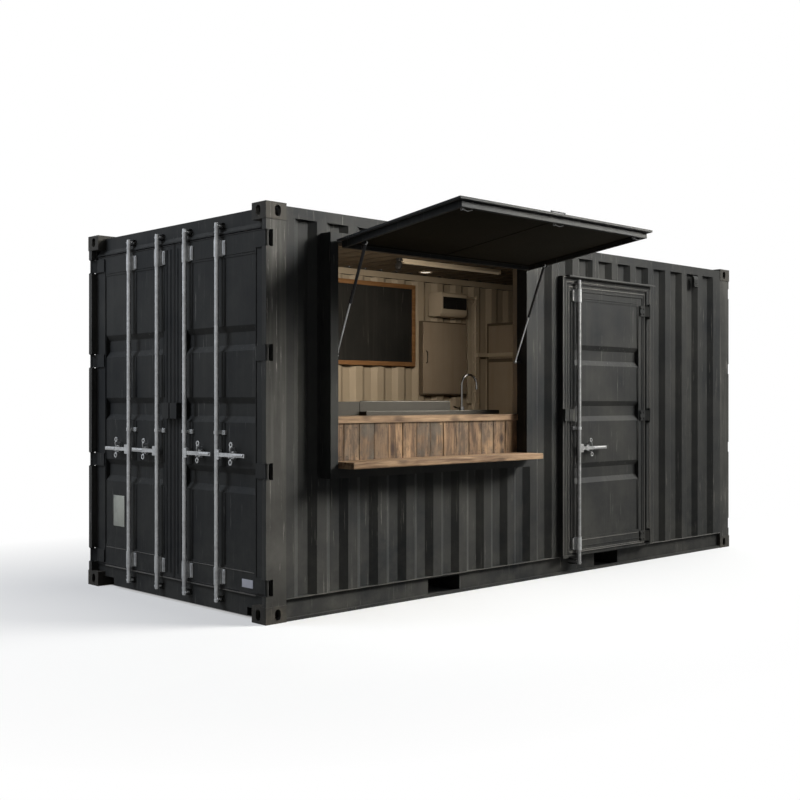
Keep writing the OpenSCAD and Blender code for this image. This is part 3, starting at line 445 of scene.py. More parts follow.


# the sheets are dark outside and cream inside the room; the roof's inside has the darker ceiling tone, a
# painted shade
inward = {"back_wall": (0, -1, 0), "front_wall_uprights": (0, 1, 0), "front_wall_infills": (0, 1, 0),
          "end_wall": (-1, 0, 0), "roof": (0, 0, -1)}
for name, towards in inward.items():
    inner = ceilingShadePaint if name == "roof" else creamPaint
    dress(name, [darkPaint, inner], lambda face, t=Vector(towards): 1 if face.normal.dot(t) > 0.3 else 0)
dress("hatch_frame", [darkPaint, creamPaint],
      lambda face: 1 if face.center.y > -1.19 and abs(face.normal.y) < 0.5 else 0)

dress("side_door", [darkPaint, creamPaint], lambda face: 1 if face.normal.y > 0.3 else 0)
for name in ("right_door", "left_door"):
    dress(name, [darkPaint, creamPaint], lambda face: 1 if face.normal.x > 0.3 else 0)

# the middle lock and the plates at the hinges are painted, the rest of the fittings are bare
def isPaintedCargo(face):
    across, height = abs(face.center.y), face.center.z
    return across > 0.85 or across < 0.105 and 1.39 < height < 1.52


for name in ("right_door_fittings", "left_door_fittings"):
    dress(name, [galvanised, darkPaint], lambda face: 1 if isPaintedCargo(face) else 0)
dress("side_door_fittings", [galvanised, darkPaint],
      lambda face: 1 if face.center.x > 1.2 or face.center.x < 0.35 and 1.34 < face.center.z < 1.46 else 0)
dress("top_side_rails", [darkPaint, railPaint],
      lambda face: 1 if face.normal.y * face.center.y < -0.3 else 0)

plainNodes = (
    (darkPaint, "bottom_side_rails door_header door_sill end_rails cross_members fork_pockets doorway_frame"),
    (darkPaint, "bar_keepers awning_panel"), (castingPaint, "corner_castings"), (postPaint, "corner_posts"),
    (galvanised, "right_outer_bar right_inner_bar left_inner_bar left_outer_bar strut_rods"),
    (dullSteel, "side_lock_bar"), (blackPaint, "awning_fittings strut_cylinders"), (plywood, "floor"),
    (oiledWood, "serving_ledge counter_top"), (plankWood, "counter_front"), (boardWood, "counter_base"),
    (stainless, "sink_unit"), (chrome, "tap"), (chalkboard, "menu_board"),
    (creamCase, "air_unit ceiling_light wall_conduit"), (creamPanel, "wall_cabinet tall_cupboard"))
for mat, names in plainNodes:
    for name in names.split():
        dress(name, [mat])
print("CAD nodes dressed")

# repeated hardware, by geometry nodes

def newTree(name, inputs):
    tree = bpy.data.node_groups.new(name, "GeometryNodeTree")
    tree.interface.new_socket("Geometry", in_out="INPUT", socket_type="NodeSocketGeometry")
    for label, kind, value in inputs:
        socket = tree.interface.new_socket(label, in_out="INPUT", socket_type=kind)
        if value is not None:
            socket.default_value = value
    tree.interface.new_socket("Geometry", in_out="OUTPUT", socket_type="NodeSocketGeometry")
    return tree, tree.nodes.new("NodeGroupInput"), tree.nodes.new("NodeGroupOutput")


def makeBoltTree():
    # a washer and a hexagon head on every point, standing along the point's facing
    tree, given, out = newTree("bolt heads", [("Radius", "NodeSocketFloat", 0.01),
            ("Height", "NodeSocketFloat", 0.006),
                                              ("Sides", "NodeSocketInt", 6),
             ("Finish", "NodeSocketMaterial", None)])
    half = mathNode(tree, "MULTIPLY", given.outputs["Height"], 0.5)
    thin = mathNode(tree, "MULTIPLY", given.outputs["Height"], 0.3)
    head = addNode(tree, "GeometryNodeMeshCylinder", {"Vertices": given.outputs["Sides"],
            "Radius": given.outputs["Radius"], "Depth": given.outputs["Height"]})
    lifted = addNode(tree, "GeometryNodeTransform", {"Geometry": head.outputs["Mesh"],
                     "Translation": addNode(tree, "ShaderNodeCombineXYZ", {"Z": half}).outputs[0]})
    washer = addNode(tree, "GeometryNodeMeshCylinder", {"Vertices": 14,
            "Radius": mathNode(tree, "MULTIPLY", given.outputs["Radius"], 1.45), "Depth": thin})
    flat = addNode(tree, "GeometryNodeTransform", {"Geometry": washer.outputs["Mesh"],
                   "Translation": addNode(tree, "ShaderNodeCombineXYZ",
                   {"Z": mathNode(tree, "MULTIPLY", thin, 0.5)}).outputs[0]})
    both = tree.nodes.new("GeometryNodeJoinGeometry")
    tree.links.new(lifted.outputs[0], both.inputs[0])
    tree.links.new(flat.outputs[0], both.inputs[0])
    facing = addNode(tree, "GeometryNodeInputNamedAttribute", {"Name": "facing"}, data_type="FLOAT_VECTOR")
    turn = addNode(tree, "FunctionNodeAlignRotationToVector", {"Vector": facing.outputs[0]}, axis="Z")
    placed = addNode(tree, "GeometryNodeInstanceOnPoints",
                     {"Points": given.outputs["Geometry"], "Instance": both.outputs[0],
                      "Rotation": turn.outputs[0]})
    real = addNode(tree, "GeometryNodeRealizeInstances", {0: placed.outputs[0]})
    done = addNode(tree, "GeometryNodeSetMaterial", {"Geometry": real.outputs[0],
            "Material": given.outputs["Finish"]})
    tree.links.new(done.outputs[0], out.inputs[0])
    return tree


def makePlankTree():
    # upright boards side by side, each a little thicker or thinner than the next
    tree, given, out = newTree("boarded front", [("Count", "NodeSocketInt", 14),
            ("Width", "NodeSocketFloat", 0.148), ("Gap", "NodeSocketFloat", 0.004),
                                                 ("Height", "NodeSocketFloat", 0.3),
             ("Thickness", "NodeSocketFloat", 0.02),
                                                 ("Unevenness", "NodeSocketFloat", 0.004),
             ("Seed", "NodeSocketInt", 4), ("Finish", "NodeSocketMaterial", None)])
    step = addNode(tree, "ShaderNodeCombineXYZ", {"X": given.outputs["Width"]})
    line = addNode(tree, "GeometryNodeMeshLine", {"Count": given.outputs["Count"],
            "Offset": step.outputs[0]}, mode="OFFSET")
    size = addNode(tree, "ShaderNodeCombineXYZ", {"X": mathNode(tree, "SUBTRACT",
            given.outputs["Width"], given.outputs["Gap"]),
                   "Y": given.outputs["Thickness"], "Z": given.outputs["Height"]})
    board = addNode(tree, "GeometryNodeMeshCube", {"Size": size.outputs[0], "Vertices X": 4,
            "Vertices Y": 2, "Vertices Z": 6})
    random = addNode(tree, "FunctionNodeRandomValue", {2: 0.0, 3: 1.0,
            "Seed": given.outputs["Seed"]}, data_type="FLOAT")
    shift = addNode(tree, "ShaderNodeCombineXYZ", {"Y": mathNode(tree, "MULTIPLY", random.outputs[1],
            given.outputs["Unevenness"])})
    moved = addNode(tree, "GeometryNodeSetPosition", {"Geometry": line.outputs[0],
            "Offset": shift.outputs[0]})
    placed = addNode(tree, "GeometryNodeInstanceOnPoints",
                     {"Points": moved.outputs[0], "Instance": board.outputs["Mesh"]})
    real = addNode(tree, "GeometryNodeRealizeInstances", {0: placed.outputs[0]})
    done = addNode(tree, "GeometryNodeSetMaterial", {"Geometry": real.outputs[0],
            "Material": given.outputs["Finish"]})
    tree.links.new(done.outputs[0], out.inputs[0])
    return tree


def growPiece(name, mesh, tree, values, bodyName, origin=(0, 0, 0), bevel=0.0):
    piece = bpy.data.objects.new(name, mesh)
    bpy.context.scene.collection.objects.link(piece)
    grow = piece.modifiers.new("grow", "NODES")
    grow.node_group = tree
    for item in tree.interface.items_tree:
        if item.in_out == "INPUT" and item.name in values:
            grow[item.identifier] = values[item.name]
    if bevel:
        soften = piece.modifiers.new("soften", "BEVEL")
        soften.width = bevel
        soften.segments = 1
        soften.limit_method = "ANGLE"
    bpy.context.view_layer.update()
    made = bpy.data.meshes.new_from_object(piece.evaluated_get(bpy.context.evaluated_depsgraph_get()))
    piece.modifiers.clear()
    piece.data = made
    made.transform(Matrix.Translation(origin))
    settle(made)
    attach(piece, bodyName)
    return piece


boltTree = makeBoltTree()
plankTree = makePlankTree()


def makeBolts(name, spots, bodyName, mat, radius=0.010, height=0.006, sides=6):
    mesh = bpy.data.meshes.new(name)
    mesh.from_pydata([s[0] for s in spots], [], [])
    facing = mesh.attributes.new("facing", "FLOAT_VECTOR", "POINT")
    for i, (spot, way) in enumerate(spots):
        facing.data[i].vector = way
    return growPiece(name, mesh, boltTree, {"Radius": radius, "Height": height, "Sides": sides,
            "Finish": mat}, bodyName)


# cargo doors

collarHole = 0.0168
cargo = {"face": -2.973, "panel": -2.969, "barX": -3.007, "bars": (0.190, 0.606),
         "bottom": 0.188, "top": 2.717,
         "fieldIn": 0.157, "fieldOut": 1.025, "fieldLow": 0.348, "fieldHigh": 2.557,
         "bands": (0.964, 1.465, 1.975), "bandHalf": 0.090,
         "hinges": (0.249, 1.045, 1.860, 2.646), "handleZ": 1.144, "guideZ": 1.290, "lip": 0.047}


def fieldSpans(low, high, bands, half):
    # the stretches of a door sheet between its pressed bands
    edges = [low] + [v for b in bands for v in (b - half, b + half)] + [high]
    return [(edges[i], edges[i + 1]) for i in range(0, len(edges), 2)]


def makeCargoDoor(name, side):
    # side is -1 for the leaf at -Y and 1 for the leaf at +Y
    bm = bmesh.new()
    face, panel = cargo["face"], cargo["panel"]

    def box(x0, x1, y0, y1, z0, z1, mat=0):
        low, high = sorted((side * y0, side * y1))
        addBox(bm, (x0, low, z0), (x1, high, z1), mat)
    # the narrow channels beside the bars are edged with folded lips
    for yb in cargo["bars"]:
        for z0, z1 in fieldSpans(cargo["fieldLow"], cargo["fieldHigh"], cargo["bands"], cargo["bandHalf"]):
            y = side * yb - cargo["lip"]
            addPrism(bm, [(panel - 0.011, y - 0.005), (panel - 0.011, y + 0.005), (panel, y + 0.010),
                          (panel, y - 0.014)], 2, z0 + 0.004, z1 - 0.004)
    # ridges along the edges of the field and round the leaf; the lower field ridge takes the pale edge paint,
    # partly wear and partly a painted highlight
    for z in (cargo["fieldLow"] - 0.022, cargo["fieldHigh"] + 0.016):
        box(face - 0.004, face, cargo["fieldIn"] + 0.01, cargo["fieldOut"] - 0.01, z,
            z + 0.006, 1 if z < 1 else 0)
    for y in (0.045, 0.098):
        box(face - 0.005, face, y, y + 0.007, cargo["bottom"] + 0.03, cargo["top"] - 0.03)
    box(face - 0.005, face, cargo["fieldOut"] + 0.006, cargo["fieldOut"] + 0.013,
        cargo["bottom"] + 0.03, cargo["top"] - 0.03)
    makePiece(name + "_folds", bm, name, [darkPaint, wornAndLitPaint], bevel=0.0015, segments=1)

    # rubber seal round the leaf
    bm = bmesh.new()
    for y0, y1, z0, z1 in ((0.0015, 0.011, cargo["bottom"], cargo["top"]),
                           (1.155, 1.163, cargo["bottom"], cargo["top"]),
                           (0.011, 1.155, cargo["bottom"] - 0.004, cargo["bottom"] + 0.004),
                           (0.011, 1.155, cargo["top"] - 0.004, cargo["top"] + 0.004)):
        box(face - 0.004, face + 0.012, y0, y1, z0, z1)
    makePiece(name + "_seal", bm, name, [rubber], bevel=0.002, segments=1)

    # plates, staples and rings of the fittings
    bm = bmesh.new()
    bolts = []
    for yb in cargo["bars"]:
        y = side * yb
        for z0, z1 in ((0.208, 0.326), (2.571, 2.689)):
            addBox(bm, (face - 0.010, y - 0.066, z0 + 0.006), (face, y - 0.034, z1 - 0.006))
            addBox(bm, (face - 0.016, y - 0.058, z0 + 0.012), (face - 0.009, y - 0.044, z1 - 0.012))
            bolts += [((face - 0.006, y + 0.026, z), (-1, 0, 0)) for z in (z0 + 0.02, z1 - 0.02)]
        addBox(bm, (face - 0.012, y - 0.068, cargo["guideZ"] - 0.004),
               (panel + 0.001, y - 0.030, cargo["guideZ"] + 0.028))
        bolts += [((face - 0.012, y - 0.054, cargo["guideZ"] + 0.012), (-1, 0, 0))]
        # the hasp: a hooked ring over the handle and one under it
        reach, z = y + side * 0.185, cargo["handleZ"]
        addTube(bm, [(face - 0.0160, reach + 0.058, z - 0.024), (face - 0.0165, reach + 0.040, z + 0.008),
                     (face - 0.0370, reach + 0.016, z + 0.040),
                     (face - 0.046, reach + 0.000, z + 0.056)], 0.0072, 10)
        addTube(bm, [(face - 0.002, reach + 0.008, z + 0.046),
                     (face - 0.046, reach + 0.006, z + 0.050)], 0.006, 10)
        addRing(bm, (face - 0.046, reach - 0.008, z + 0.074), (1, 0, 0), 0.020, 0.0105, 0.008, 20)
        addTube(bm, [(face - 0.002, reach, z - 0.028), (face - 0.046, reach, z - 0.032)], 0.006, 10)
        addRing(bm, (face - 0.046, reach, z - 0.052), (1, 0, 0), 0.021, 0.0115, 0.008, 20)
    makePiece(name + "_hasps", bm, name, [galvanised], bevel=0.001, segments=1)
    makeBolts(name + "_bolts", bolts, name, galvanised, 0.006, 0.005)


def makeBarDetail(name, side, yb):
    bm = bmesh.new()
    x, y = cargo["barX"], side * yb
    for z in (0.204, 0.330, 2.567, 2.693):
        addRing(bm, (x, y, z), (0, 0, 1), 0.0205, collarHole, 0.007, 24)
    for z in (0.098, 0.135, 2.745, 2.780):
        addRing(bm, (x, y, z), (0, 0, 1), 0.0195, collarHole, 0.010, 24)
    addTube(bm, [(x, y, 0.0795), (x, y, 0.084)], 0.015, 16)
    addTube(bm, [(x, y, 2.808), (x, y, 2.8135)], 0.015, 16)
    for z in (0.103, 2.792):
        for turn in (-2.5, 2.5, 1.4):
            way = Vector((-math.cos(turn), side * math.sin(turn), 0))
            tip, root = Vector((x, y, z)) + way * 0.029, Vector((x, y, z)) + way * 0.012
            addTube(bm, [root, tip], 0.008, 8, radii=[0.0085, 0.006])
    # hub straps and the grip of the handle
    for z in (cargo["handleZ"] - 0.018, cargo["handleZ"] + 0.018):
        addTube(bm, [(x - 0.0175, y + side * 0.030, z), (x - 0.0135, y + side * 0.030, z)], 0.008, 12)
    addTube(bm, [(x - 0.008, y + side * 0.20, cargo["handleZ"]),
                 (x - 0.008, y + side * 0.235, cargo["handleZ"]),
                 (x - 0.008, y + side * 0.335, cargo["handleZ"])],
            0.010, 16, radii=[0.009, 0.0125, 0.0115])
    makePiece(name + "_collars", bm, name, [galvanised], bevel=0.0008, segments=1)


makeCargoDoor("right_door", -1)
makeCargoDoor("left_door", 1)
for barName, side, yb in (("right_outer_bar", -1, 0.606), ("right_inner_bar", -1, 0.190),
                          ("left_inner_bar", 1, 0.190), ("left_outer_bar", 1, 0.606)):
    makeBarDetail(barName, side, yb)

# blank data plate with its rivets, low on the far leaf
bm = bmesh.new()
addBox(bm, (cargo["panel"] - 0.004, 0.735, 0.51), (cargo["panel"], 0.905, 0.76))
plateMetal = metalMaterial("data plate metal", (0.36, 0.37, 0.32), 0.45, 0.6, stain=0.5, metallic=0.3)
makePiece("data_plate", bm, "left_door", [plateMetal], bevel=0.001)
makeBolts("plate_rivets", [((cargo["panel"] - 0.004, y, z), (-1, 0, 0)) for y in (0.745, 0.895)
                           for z in (0.52, 0.75)], "left_door",
          galvanised, 0.004, 0.002, 10)
bm = bmesh.new()
addBox(bm, (cargo["face"] - 0.0025, -0.998, 0.218), (cargo["face"], -0.870, 0.276))
makePiece("blank_label", bm, "right_door", [labelPaint], bevel=0.0006, segments=1)
bm = bmesh.new()
for z in cargo["hinges"]:
    for side in (-1, 1):
        for turn in (-1, 1):
            addRing(bm, (body["doorEnd"] + 0.022, side * 1.197, z + turn * 0.055), (0, 0, 1),
                    0.0205, 0.0083, 0.0044, 24)
makePiece("hinge_washers", bm, "container", [darkPaint])
print("cargo doors detailed")

# side door

sideDoor = {"face": -1.249, "panel": -1.245, "x0": 0.236, "x1": 1.443, "bottom": 0.182, "top": 2.553,
            "fieldX0": 0.348, "fieldX1": 1.331,
            "fieldLow": 0.317, "fieldHigh": 2.418, "bands": (0.885, 1.436, 1.935), "bandHalf": 0.090,
            "barX": 0.371, "barY": -1.283,
            "hinges": (0.250, 1.390, 2.375), "handleZ": 1.110, "guideZ": 1.275}


def makeSideDoor():
    face, panel = sideDoor["face"], sideDoor["panel"]
    bm = bmesh.new()
    x0, x1, z0, z1 = sideDoor["x0"], sideDoor["x1"], sideDoor["bottom"], sideDoor["top"]
    # the outer ring of edges, the lower ridge and the strip along the foot take the pale edge paint, partly
    # wear and partly a painted highlight
    for inset in (0.018, 0.052):
        wornAndLit = 1 if inset < 0.03 else 0
        for lowX, highX, lowZ, highZ in ((x0 + inset, x0 + inset + 0.007, z0 + inset, z1 - inset),
                (x1 - inset - 0.007, x1 - inset, z0 + inset, z1 - inset),
                                         (x0 + inset + 0.007, x1 - inset - 0.007, z0 + inset,
                                         z0 + inset + 0.007),
                 (x0 + inset + 0.007, x1 - inset - 0.007, z1 - inset - 0.007, z1 - inset)):
            addBox(bm, (lowX, face - 0.006, lowZ), (highX, face, highZ), wornAndLit)
    for low, high in fieldSpans(sideDoor["fieldLow"], sideDoor["fieldHigh"],
                                sideDoor["bands"], sideDoor["bandHalf"]):
        for x in (sideDoor["barX"] + 0.018, sideDoor["fieldX1"] - 0.014):
            addPrism(bm, [(x - 0.003, panel - 0.008), (x + 0.003, panel - 0.008), (x + 0.009, panel),
                          (x - 0.009, panel)], 2, low + 0.004, high - 0.004)
    for z in (sideDoor["fieldLow"] - 0.030, sideDoor["fieldHigh"] + 0.020):
        addBox(bm, (sideDoor["fieldX0"] + 0.012, face - 0.004, z),
               (sideDoor["fieldX1"] - 0.008, face, z + 0.006), 1 if z < 1 else 0)
    addBox(bm, (x0 + 0.030, face - 0.008, z0 + 0.004), (x1 - 0.030, face, z0 + 0.012), 1)
    makePiece("side_door_folds", bm, "side_door",
              [darkPaint, wornAndLitPaint], bevel=0.0015, segments=1)
    bm = bmesh.new()
    for lowX, highX, lowZ, highZ in ((x0 - 0.004, x0 + 0.004, z0, z1), (x1 - 0.004, x1 + 0.002, z0, z1),
                                     (x0 + 0.004, x1 - 0.004, z1 - 0.004, z1 + 0.004),
                                     (x0 + 0.004, x1 - 0.004, z0 - 0.003, z0 + 0.004)):
        addBox(bm, (lowX, face - 0.003, lowZ), (highX, face + 0.012, highZ))
    makePiece("side_door_seal", bm, "side_door", [rubber], bevel=0.002, segments=1)
    bm = bmesh.new()
    bolts = []
    x, z = sideDoor["barX"], sideDoor["handleZ"]
    for low, high in ((0.212, 0.322), (2.403, 2.513)):
        addBox(bm, (x - 0.062, face - 0.012, low + 0.006), (x - 0.030, face, high - 0.006))
        bolts += [((x + 0.024, face - 0.006, h), (0, -1, 0)) for h in (low + 0.02, high - 0.02)]
    addBox(bm, (x - 0.056, face - 0.010, sideDoor["guideZ"] - 0.003),
           (x - 0.028, panel + 0.001, sideDoor["guideZ"] + 0.027))
    reach = x + 0.170
    addTube(bm, [(reach + 0.052, face - 0.0150, z - 0.022), (reach + 0.036, face - 0.0155, z + 0.008),
                 (reach + 0.012, face - 0.0350, z + 0.038),
                 (reach - 0.006, face - 0.044, z + 0.052)], 0.0068, 10)
    addTube(bm, [(reach + 0.002, face - 0.002, z + 0.042), (reach, face - 0.046, z + 0.046)], 0.006, 10)
    addRing(bm, (reach - 0.014, face - 0.046, z + 0.069), (0, 1, 0), 0.019, 0.010, 0.008, 20)
    addTube(bm, [(reach, face - 0.002, z - 0.034), (reach, face - 0.046, z - 0.038)], 0.006, 10)
    addRing(bm, (reach, face - 0.046, z - 0.057), (0, 1, 0), 0.020, 0.011, 0.008, 20)
    makePiece("side_door_hasp", bm, "side_door", [dullSteel], bevel=0.001, segments=1)
    makeBolts("side_door_bolts", bolts, "side_door", galvanised, 0.006, 0.005)
    spots = [((px, face - 0.011, h + s), (0, -1, 0)) for h in sideDoor["hinges"]
             for s in (-0.026, 0.026) for px in (1.362, 1.405)]
    makeBolts("side_hinge_bolts", spots, "side_door", darkPaint, 0.008, 0.006)
    bm = bmesh.new()
    for h in (0.104, 0.2065, 0.3275, 2.3975, 2.5185, 2.560):
        addRing(bm, (x, sideDoor["barY"], h), (0, 0, 1), 0.0205, collarHole, 0.008, 24)
    addTube(bm, [(x, sideDoor["barY"], 2.588), (x, sideDoor["barY"], 2.596)], 0.014, 16)
    for h in (z - 0.018, z + 0.018):
        addTube(bm, [(x + 0.030, sideDoor["barY"] - 0.0175, h),
                     (x + 0.030, sideDoor["barY"] - 0.0135, h)], 0.008, 12)
    addTube(bm, [(x + 0.20, sideDoor["barY"] - 0.008, z), (x + 0.25, sideDoor["barY"] - 0.008, z),
                 (x + 0.375, sideDoor["barY"] - 0.008, z)], 0.010, 16, radii=[0.009, 0.0125, 0.0115])
    makePiece("side_bar_collars", bm, "side_lock_bar",
              [dullSteel], bevel=0.0008, segments=1)


def makeDoorwayTrim():
    # folded edges round the doorway, in the pale edge paint that is partly wear and partly a painted
    # highlight, and the vent high on the wall
    bm = bmesh.new()
    x0, x1, face, top = 0.166, 1.511, -1.259, 2.623
    for lowX, highX, lowZ, highZ in ((x0 + 0.003, x0 + 0.010, 0.170, top - 0.010),
                                     (x0 + 0.044, x0 + 0.050, 0.176, top - 0.050),
                                     (x1 - 0.010, x1 - 0.003, 0.170, top - 0.010),
                                     (x1 - 0.020, x1 - 0.014, 0.176, top - 0.050),
                                     (x0 + 0.010, x1 - 0.010, top - 0.010, top - 0.003),
                                     (x0 + 0.050, sideDoor["barX"] - 0.050, top - 0.050, top - 0.044),
                                     (sideDoor["barX"] + 0.050, x1 - 0.050, top - 0.050, top - 0.044)):
        addBox(bm, (lowX, face - 0.004, lowZ), (highX, face, highZ), 1)
    addBox(bm, (x0 - 0.006, face - 0.012, 0.150), (x0 + 0.070, face, 0.176))
    addPrism(bm, [(face - 0.030, top), (face - 0.030, top + 0.008), (face - 0.036, top - 0.008),
                  (face - 0.034, top - 0.010)], 0, x0 + 0.062, x1 + 0.038)
    makePiece("doorway_trim", bm, "container",
              [darkPaint, wornAndLitPaint], bevel=0.0015, segments=1)
    bm = bmesh.new()
    addPrism(bm, [(-1.215, 2.665), (-1.235, 2.672), (-1.235, 2.770), (-1.215, 2.788)], 0, 2.325, 2.403)
    for k in range(5):
        z = 2.682 + k * 0.017
        addPrism(bm, [(-1.234, z), (-1.241, z - 0.004), (-1.241, z - 0.001),
                      (-1.234, z + 0.006)], 0, 2.331, 2.397)
    makePiece("wall_vent", bm, "container", [darkPaint], bevel=0.001, segments=1)


def makeRailLips():
    # the folded lips of the bottom rails: the lower reaches the ground, the upper is a rounded edge whose
    # pale paint, like the line along the door end's sill, is partly wear and partly a painted highlight
    bm = bmesh.new()
    for side in (-1, 1):
        for low, high, z0, z1 in ((1.186, 1.2165, 0.002, 0.0178), (1.2105, 1.2175, 0.1555, 0.1605)):
            addBox(bm, (-2.850, min(side * low, side * high), z0),
                   (2.850, max(side * low, side * high), z1), 0 if z0 < 0.1 else 1)
    addBox(bm, (-2.9775, -1.030, 0.1690), (-2.9748, 1.030, 0.1795), 1)
    makePiece("bottom_rail_lips", bm, "container", [darkPaint, wornAndLitPaint], bevel=0.0015)


makeSideDoor()
makeDoorwayTrim()
makeRailLips()
print("side door detailed")

# awning, its hinge and struts

def makeAwning():
    turn = Matrix.Translation((0, awning["pinY"],
                               awning["pinZ"])) @ Matrix.Rotation(-(math.pi / 2 + awning["tilt"]), 4, "X")
    left, right = hatch["openX0"], hatch["openX1"]

    # the lining under the sheet is one flat board with a moulding round it
    bm = bmesh.new()
    low, high = left + 0.0355, right - 0.0355
    addBox(bm, (low, 0.006, -1.1525), (high, 0.012, -0.0375))
    for z0, z1 in ((-1.1525, -1.137), (-0.053, -0.0375)):
        addBox(bm, (low, 0.0125, z0), (high, 0.020, z1))
    for x0, x1 in ((low, low + 0.015), (high - 0.015, high)):
        addBox(bm, (x0, 0.0125, -1.1365), (x1, 0.020, -0.0535))
    addBox(bm, ((low + high) / 2 - 0.012, 0.0125, -1.1365), ((low + high) / 2 + 0.012, 0.0165, -0.0535))
    bmesh.ops.transform(bm, matrix=turn, verts=bm.verts)
    makePiece("awning_lining", bm, "awning", [liningPaint], bevel=0.002)
    # folded drip edge of the sheet and the seal under its overhang
    bm = bmesh.new()
    x0, x1, length = left - 0.030, right + 0.030, awning["length"]
    addBox(bm, (x0 + 0.001, -0.0085, -length + 0.001), (x1 - 0.001, 0.004, -length + 0.004))
    for x in (x0 + 0.001, x1 - 0.004):
        addBox(bm, (x, -0.0085, -length + 0.004), (x + 0.003, 0.004, -0.010))
    bmesh.ops.transform(bm, matrix=turn, verts=bm.verts)
    makePiece("awning_drip_edge", bm, "awning", [darkPaint])
    bm = bmesh.new()
    addBox(bm, (x0 + 0.006, -0.0078, -length + 0.006), (x1 - 0.006, 0.006, -length + 0.026))
    for x in (x0 + 0.008, x1 - 0.030):
        addBox(bm, (x, -0.0078, -length + 0.027), (x + 0.022, 0.005, -0.020))
    bmesh.ops.transform(bm, matrix=turn, verts=bm.verts)
    makePiece("awning_seal", bm, "awning", [rubber], bevel=0.003)
    # catches and pull-handle feet at the front
    bm = bmesh.new()
    for x in (left + 0.055, (left + right) / 2 - 0.04, right - 0.13):
        addBox(bm, (x - 0.014, 0.030, -length + 0.0552), (x + 0.014, 0.0465, -length + 0.060))
        addTube(bm, [(x, 0.040, -length + 0.058), (x, 0.053, -length + 0.064),
                     (x + 0.045, 0.058, -length + 0.068), (x + 0.085, 0.049, -length + 0.062)], 0.0032, 8)
        addRing(bm, (x - 0.010, 0.050, -length + 0.068), (1, 0, 0), 0.010, 0.006, 0.005, 16)
    bmesh.ops.transform(bm, matrix=turn, verts=bm.verts)
    makePiece("awning_catches", bm, "awning", [dullSteel], bevel=0.0008, segments=1)
    bm = bmesh.new()
    mid = (left + right) / 2
    for s in (-1, 1):
        addTube(bm, [(mid + s * 0.075, -0.011, -length + 0.060),
                     (mid + s * 0.075, -0.015, -length + 0.060)], 0.013, 16)
    bmesh.ops.transform(bm, matrix=turn, verts=bm.verts)
    makePiece("awning_handle_feet", bm, "awning", [blackPaint], bevel=0.001)


def makeStruts():
    low = Vector((0, body["front"] - 0.025, 1.854))
    tilt = awning["tilt"]
    high = Vector((0, awning["pinY"] - 0.213 * math.cos(tilt) - 0.050 * math.sin(tilt),
                   awning["pinZ"] + 0.213 * math.sin(tilt) - 0.050 * math.cos(tilt)))
    way = (high - low).normalized()
    length = (high - low).length
    rodHole = 0.0068
    rods, cylinders, studs, ends = bmesh.new(), bmesh.new(), bmesh.new(), bmesh.new()
    for x, inner in ((hatch["openX0"] + 0.055, -1), (hatch["openX1"] - 0.055, 1)):
        shift = Vector((x, 0, 0))
        # collar and dust cap where the rod enters, and bright eyes at both ends
        enter = length - 0.440
        addRing(cylinders, shift + low + way * (enter + 0.005), way, 0.0125, rodHole, 0.022, 20)
        addTube(ends, [shift + low + way * (length - 0.034),
                       shift + low + way * (length - 0.008)], 0.0085, 18)
        addRing(ends, shift + high, (1, 0, 0), 0.0125, 0.0060, 0.0150, 24)
        addRing(rods, shift + low, (1, 0, 0), 0.0125, 0.0060, 0.0145, 24)
        addTube(rods, [shift + low + way * 0.010, shift + low + way * 0.034], 0.0085, 16)
        for s in (-1, 1):
            addTube(cylinders, [shift + high + Vector((s * 0.0079, 0, 0)),
                                shift + high + Vector((s * 0.0100, 0, 0))], 0.0075, 16)
            if s == -inner:
                addTube(studs, [shift + low + Vector((s * 0.0088, 0, 0)),
                                shift + low + Vector((s * 0.0108, 0, 0))], 0.0085, 6)
    makePiece("strut_rod_eyes", rods, "strut_rods", [galvanised])
    makePiece("strut_caps", cylinders, "strut_cylinders", [blackPaint], bevel=0.001)
    makePiece("strut_end_eyes", ends, "strut_cylinders", [galvanised])
    makePiece("strut_nuts", studs, "container", [galvanised])


makeAwning()
makeStruts()
print("awning and struts detailed")

# serving counter

counter = {"top": 1.417, "low": 1.050, "thick": 0.050, "front": -1.219, "planks": 14}


def makeCounter():
    left, right = hatch["openX0"], hatch["openX1"]
    width = (right - left) / counter["planks"]
    height = counter["top"] - counter["thick"] - counter["low"]
    empty = bpy.data.meshes.new("counter_planks")
    planks = growPiece("counter_planks", empty, plankTree,
                       {"Count": counter["planks"], "Width": width, "Gap": 0.003,
                        "Height": height - 0.002, "Thickness": 0.020,
                       "Unevenness": 0.004, "Seed": 7, "Finish": plankWood}, "container",
                       origin=(left + width / 2, counter["front"] + 0.0105,
                               counter["low"] + height / 2), bevel=0.0025)
    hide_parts("counter_front")
    nails = [((left + (k + 0.5) * width + s * 0.045, counter["front"] + 0.002, z), (0, -1, 0))
             for k in range(counter["planks"]) for s in (-1, 1) for z in (1.125, 1.335)]
    makeBolts("plank_nails", nails, "container", blackPaint, 0.0025, 0.002, 8)


def makeLedge():
    # two boards glued side by side, and the piece that runs back through the hatch
    bm = bmesh.new()
    x0, x1 = hatch["openX0"] + 0.005, hatch["openX1"] + 0.019
    front, face = body["front"] - 0.267, hatch["face"]
    addBox(bm, (x0, front, 1.0505), (x1, front + 0.0790, 1.097))
    addBox(bm, (x0, front + 0.0805, 1.0505), (x1, face - 0.0005, 1.097))
    addBox(bm, (x0, face - 0.0005, 1.0505), (x1 - 0.024, counter["front"] - 0.0005, 1.0965))
    liner = bmesh.new()
    for x in (hatch["openX0"] + 0.0005, hatch["openX1"] - 0.0015):
        addBox(liner, (x, -1.2180, counter["top"] + 0.004), (x + 0.001, -1.1720, 2.640))
    makePiece("reveal_liners", liner, "container", [creamPaint])
    piece = makePiece("ledge_boards", bm, "container", [oiledWood], bevel=0.004, segments=3)
    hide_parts("serving_ledge")


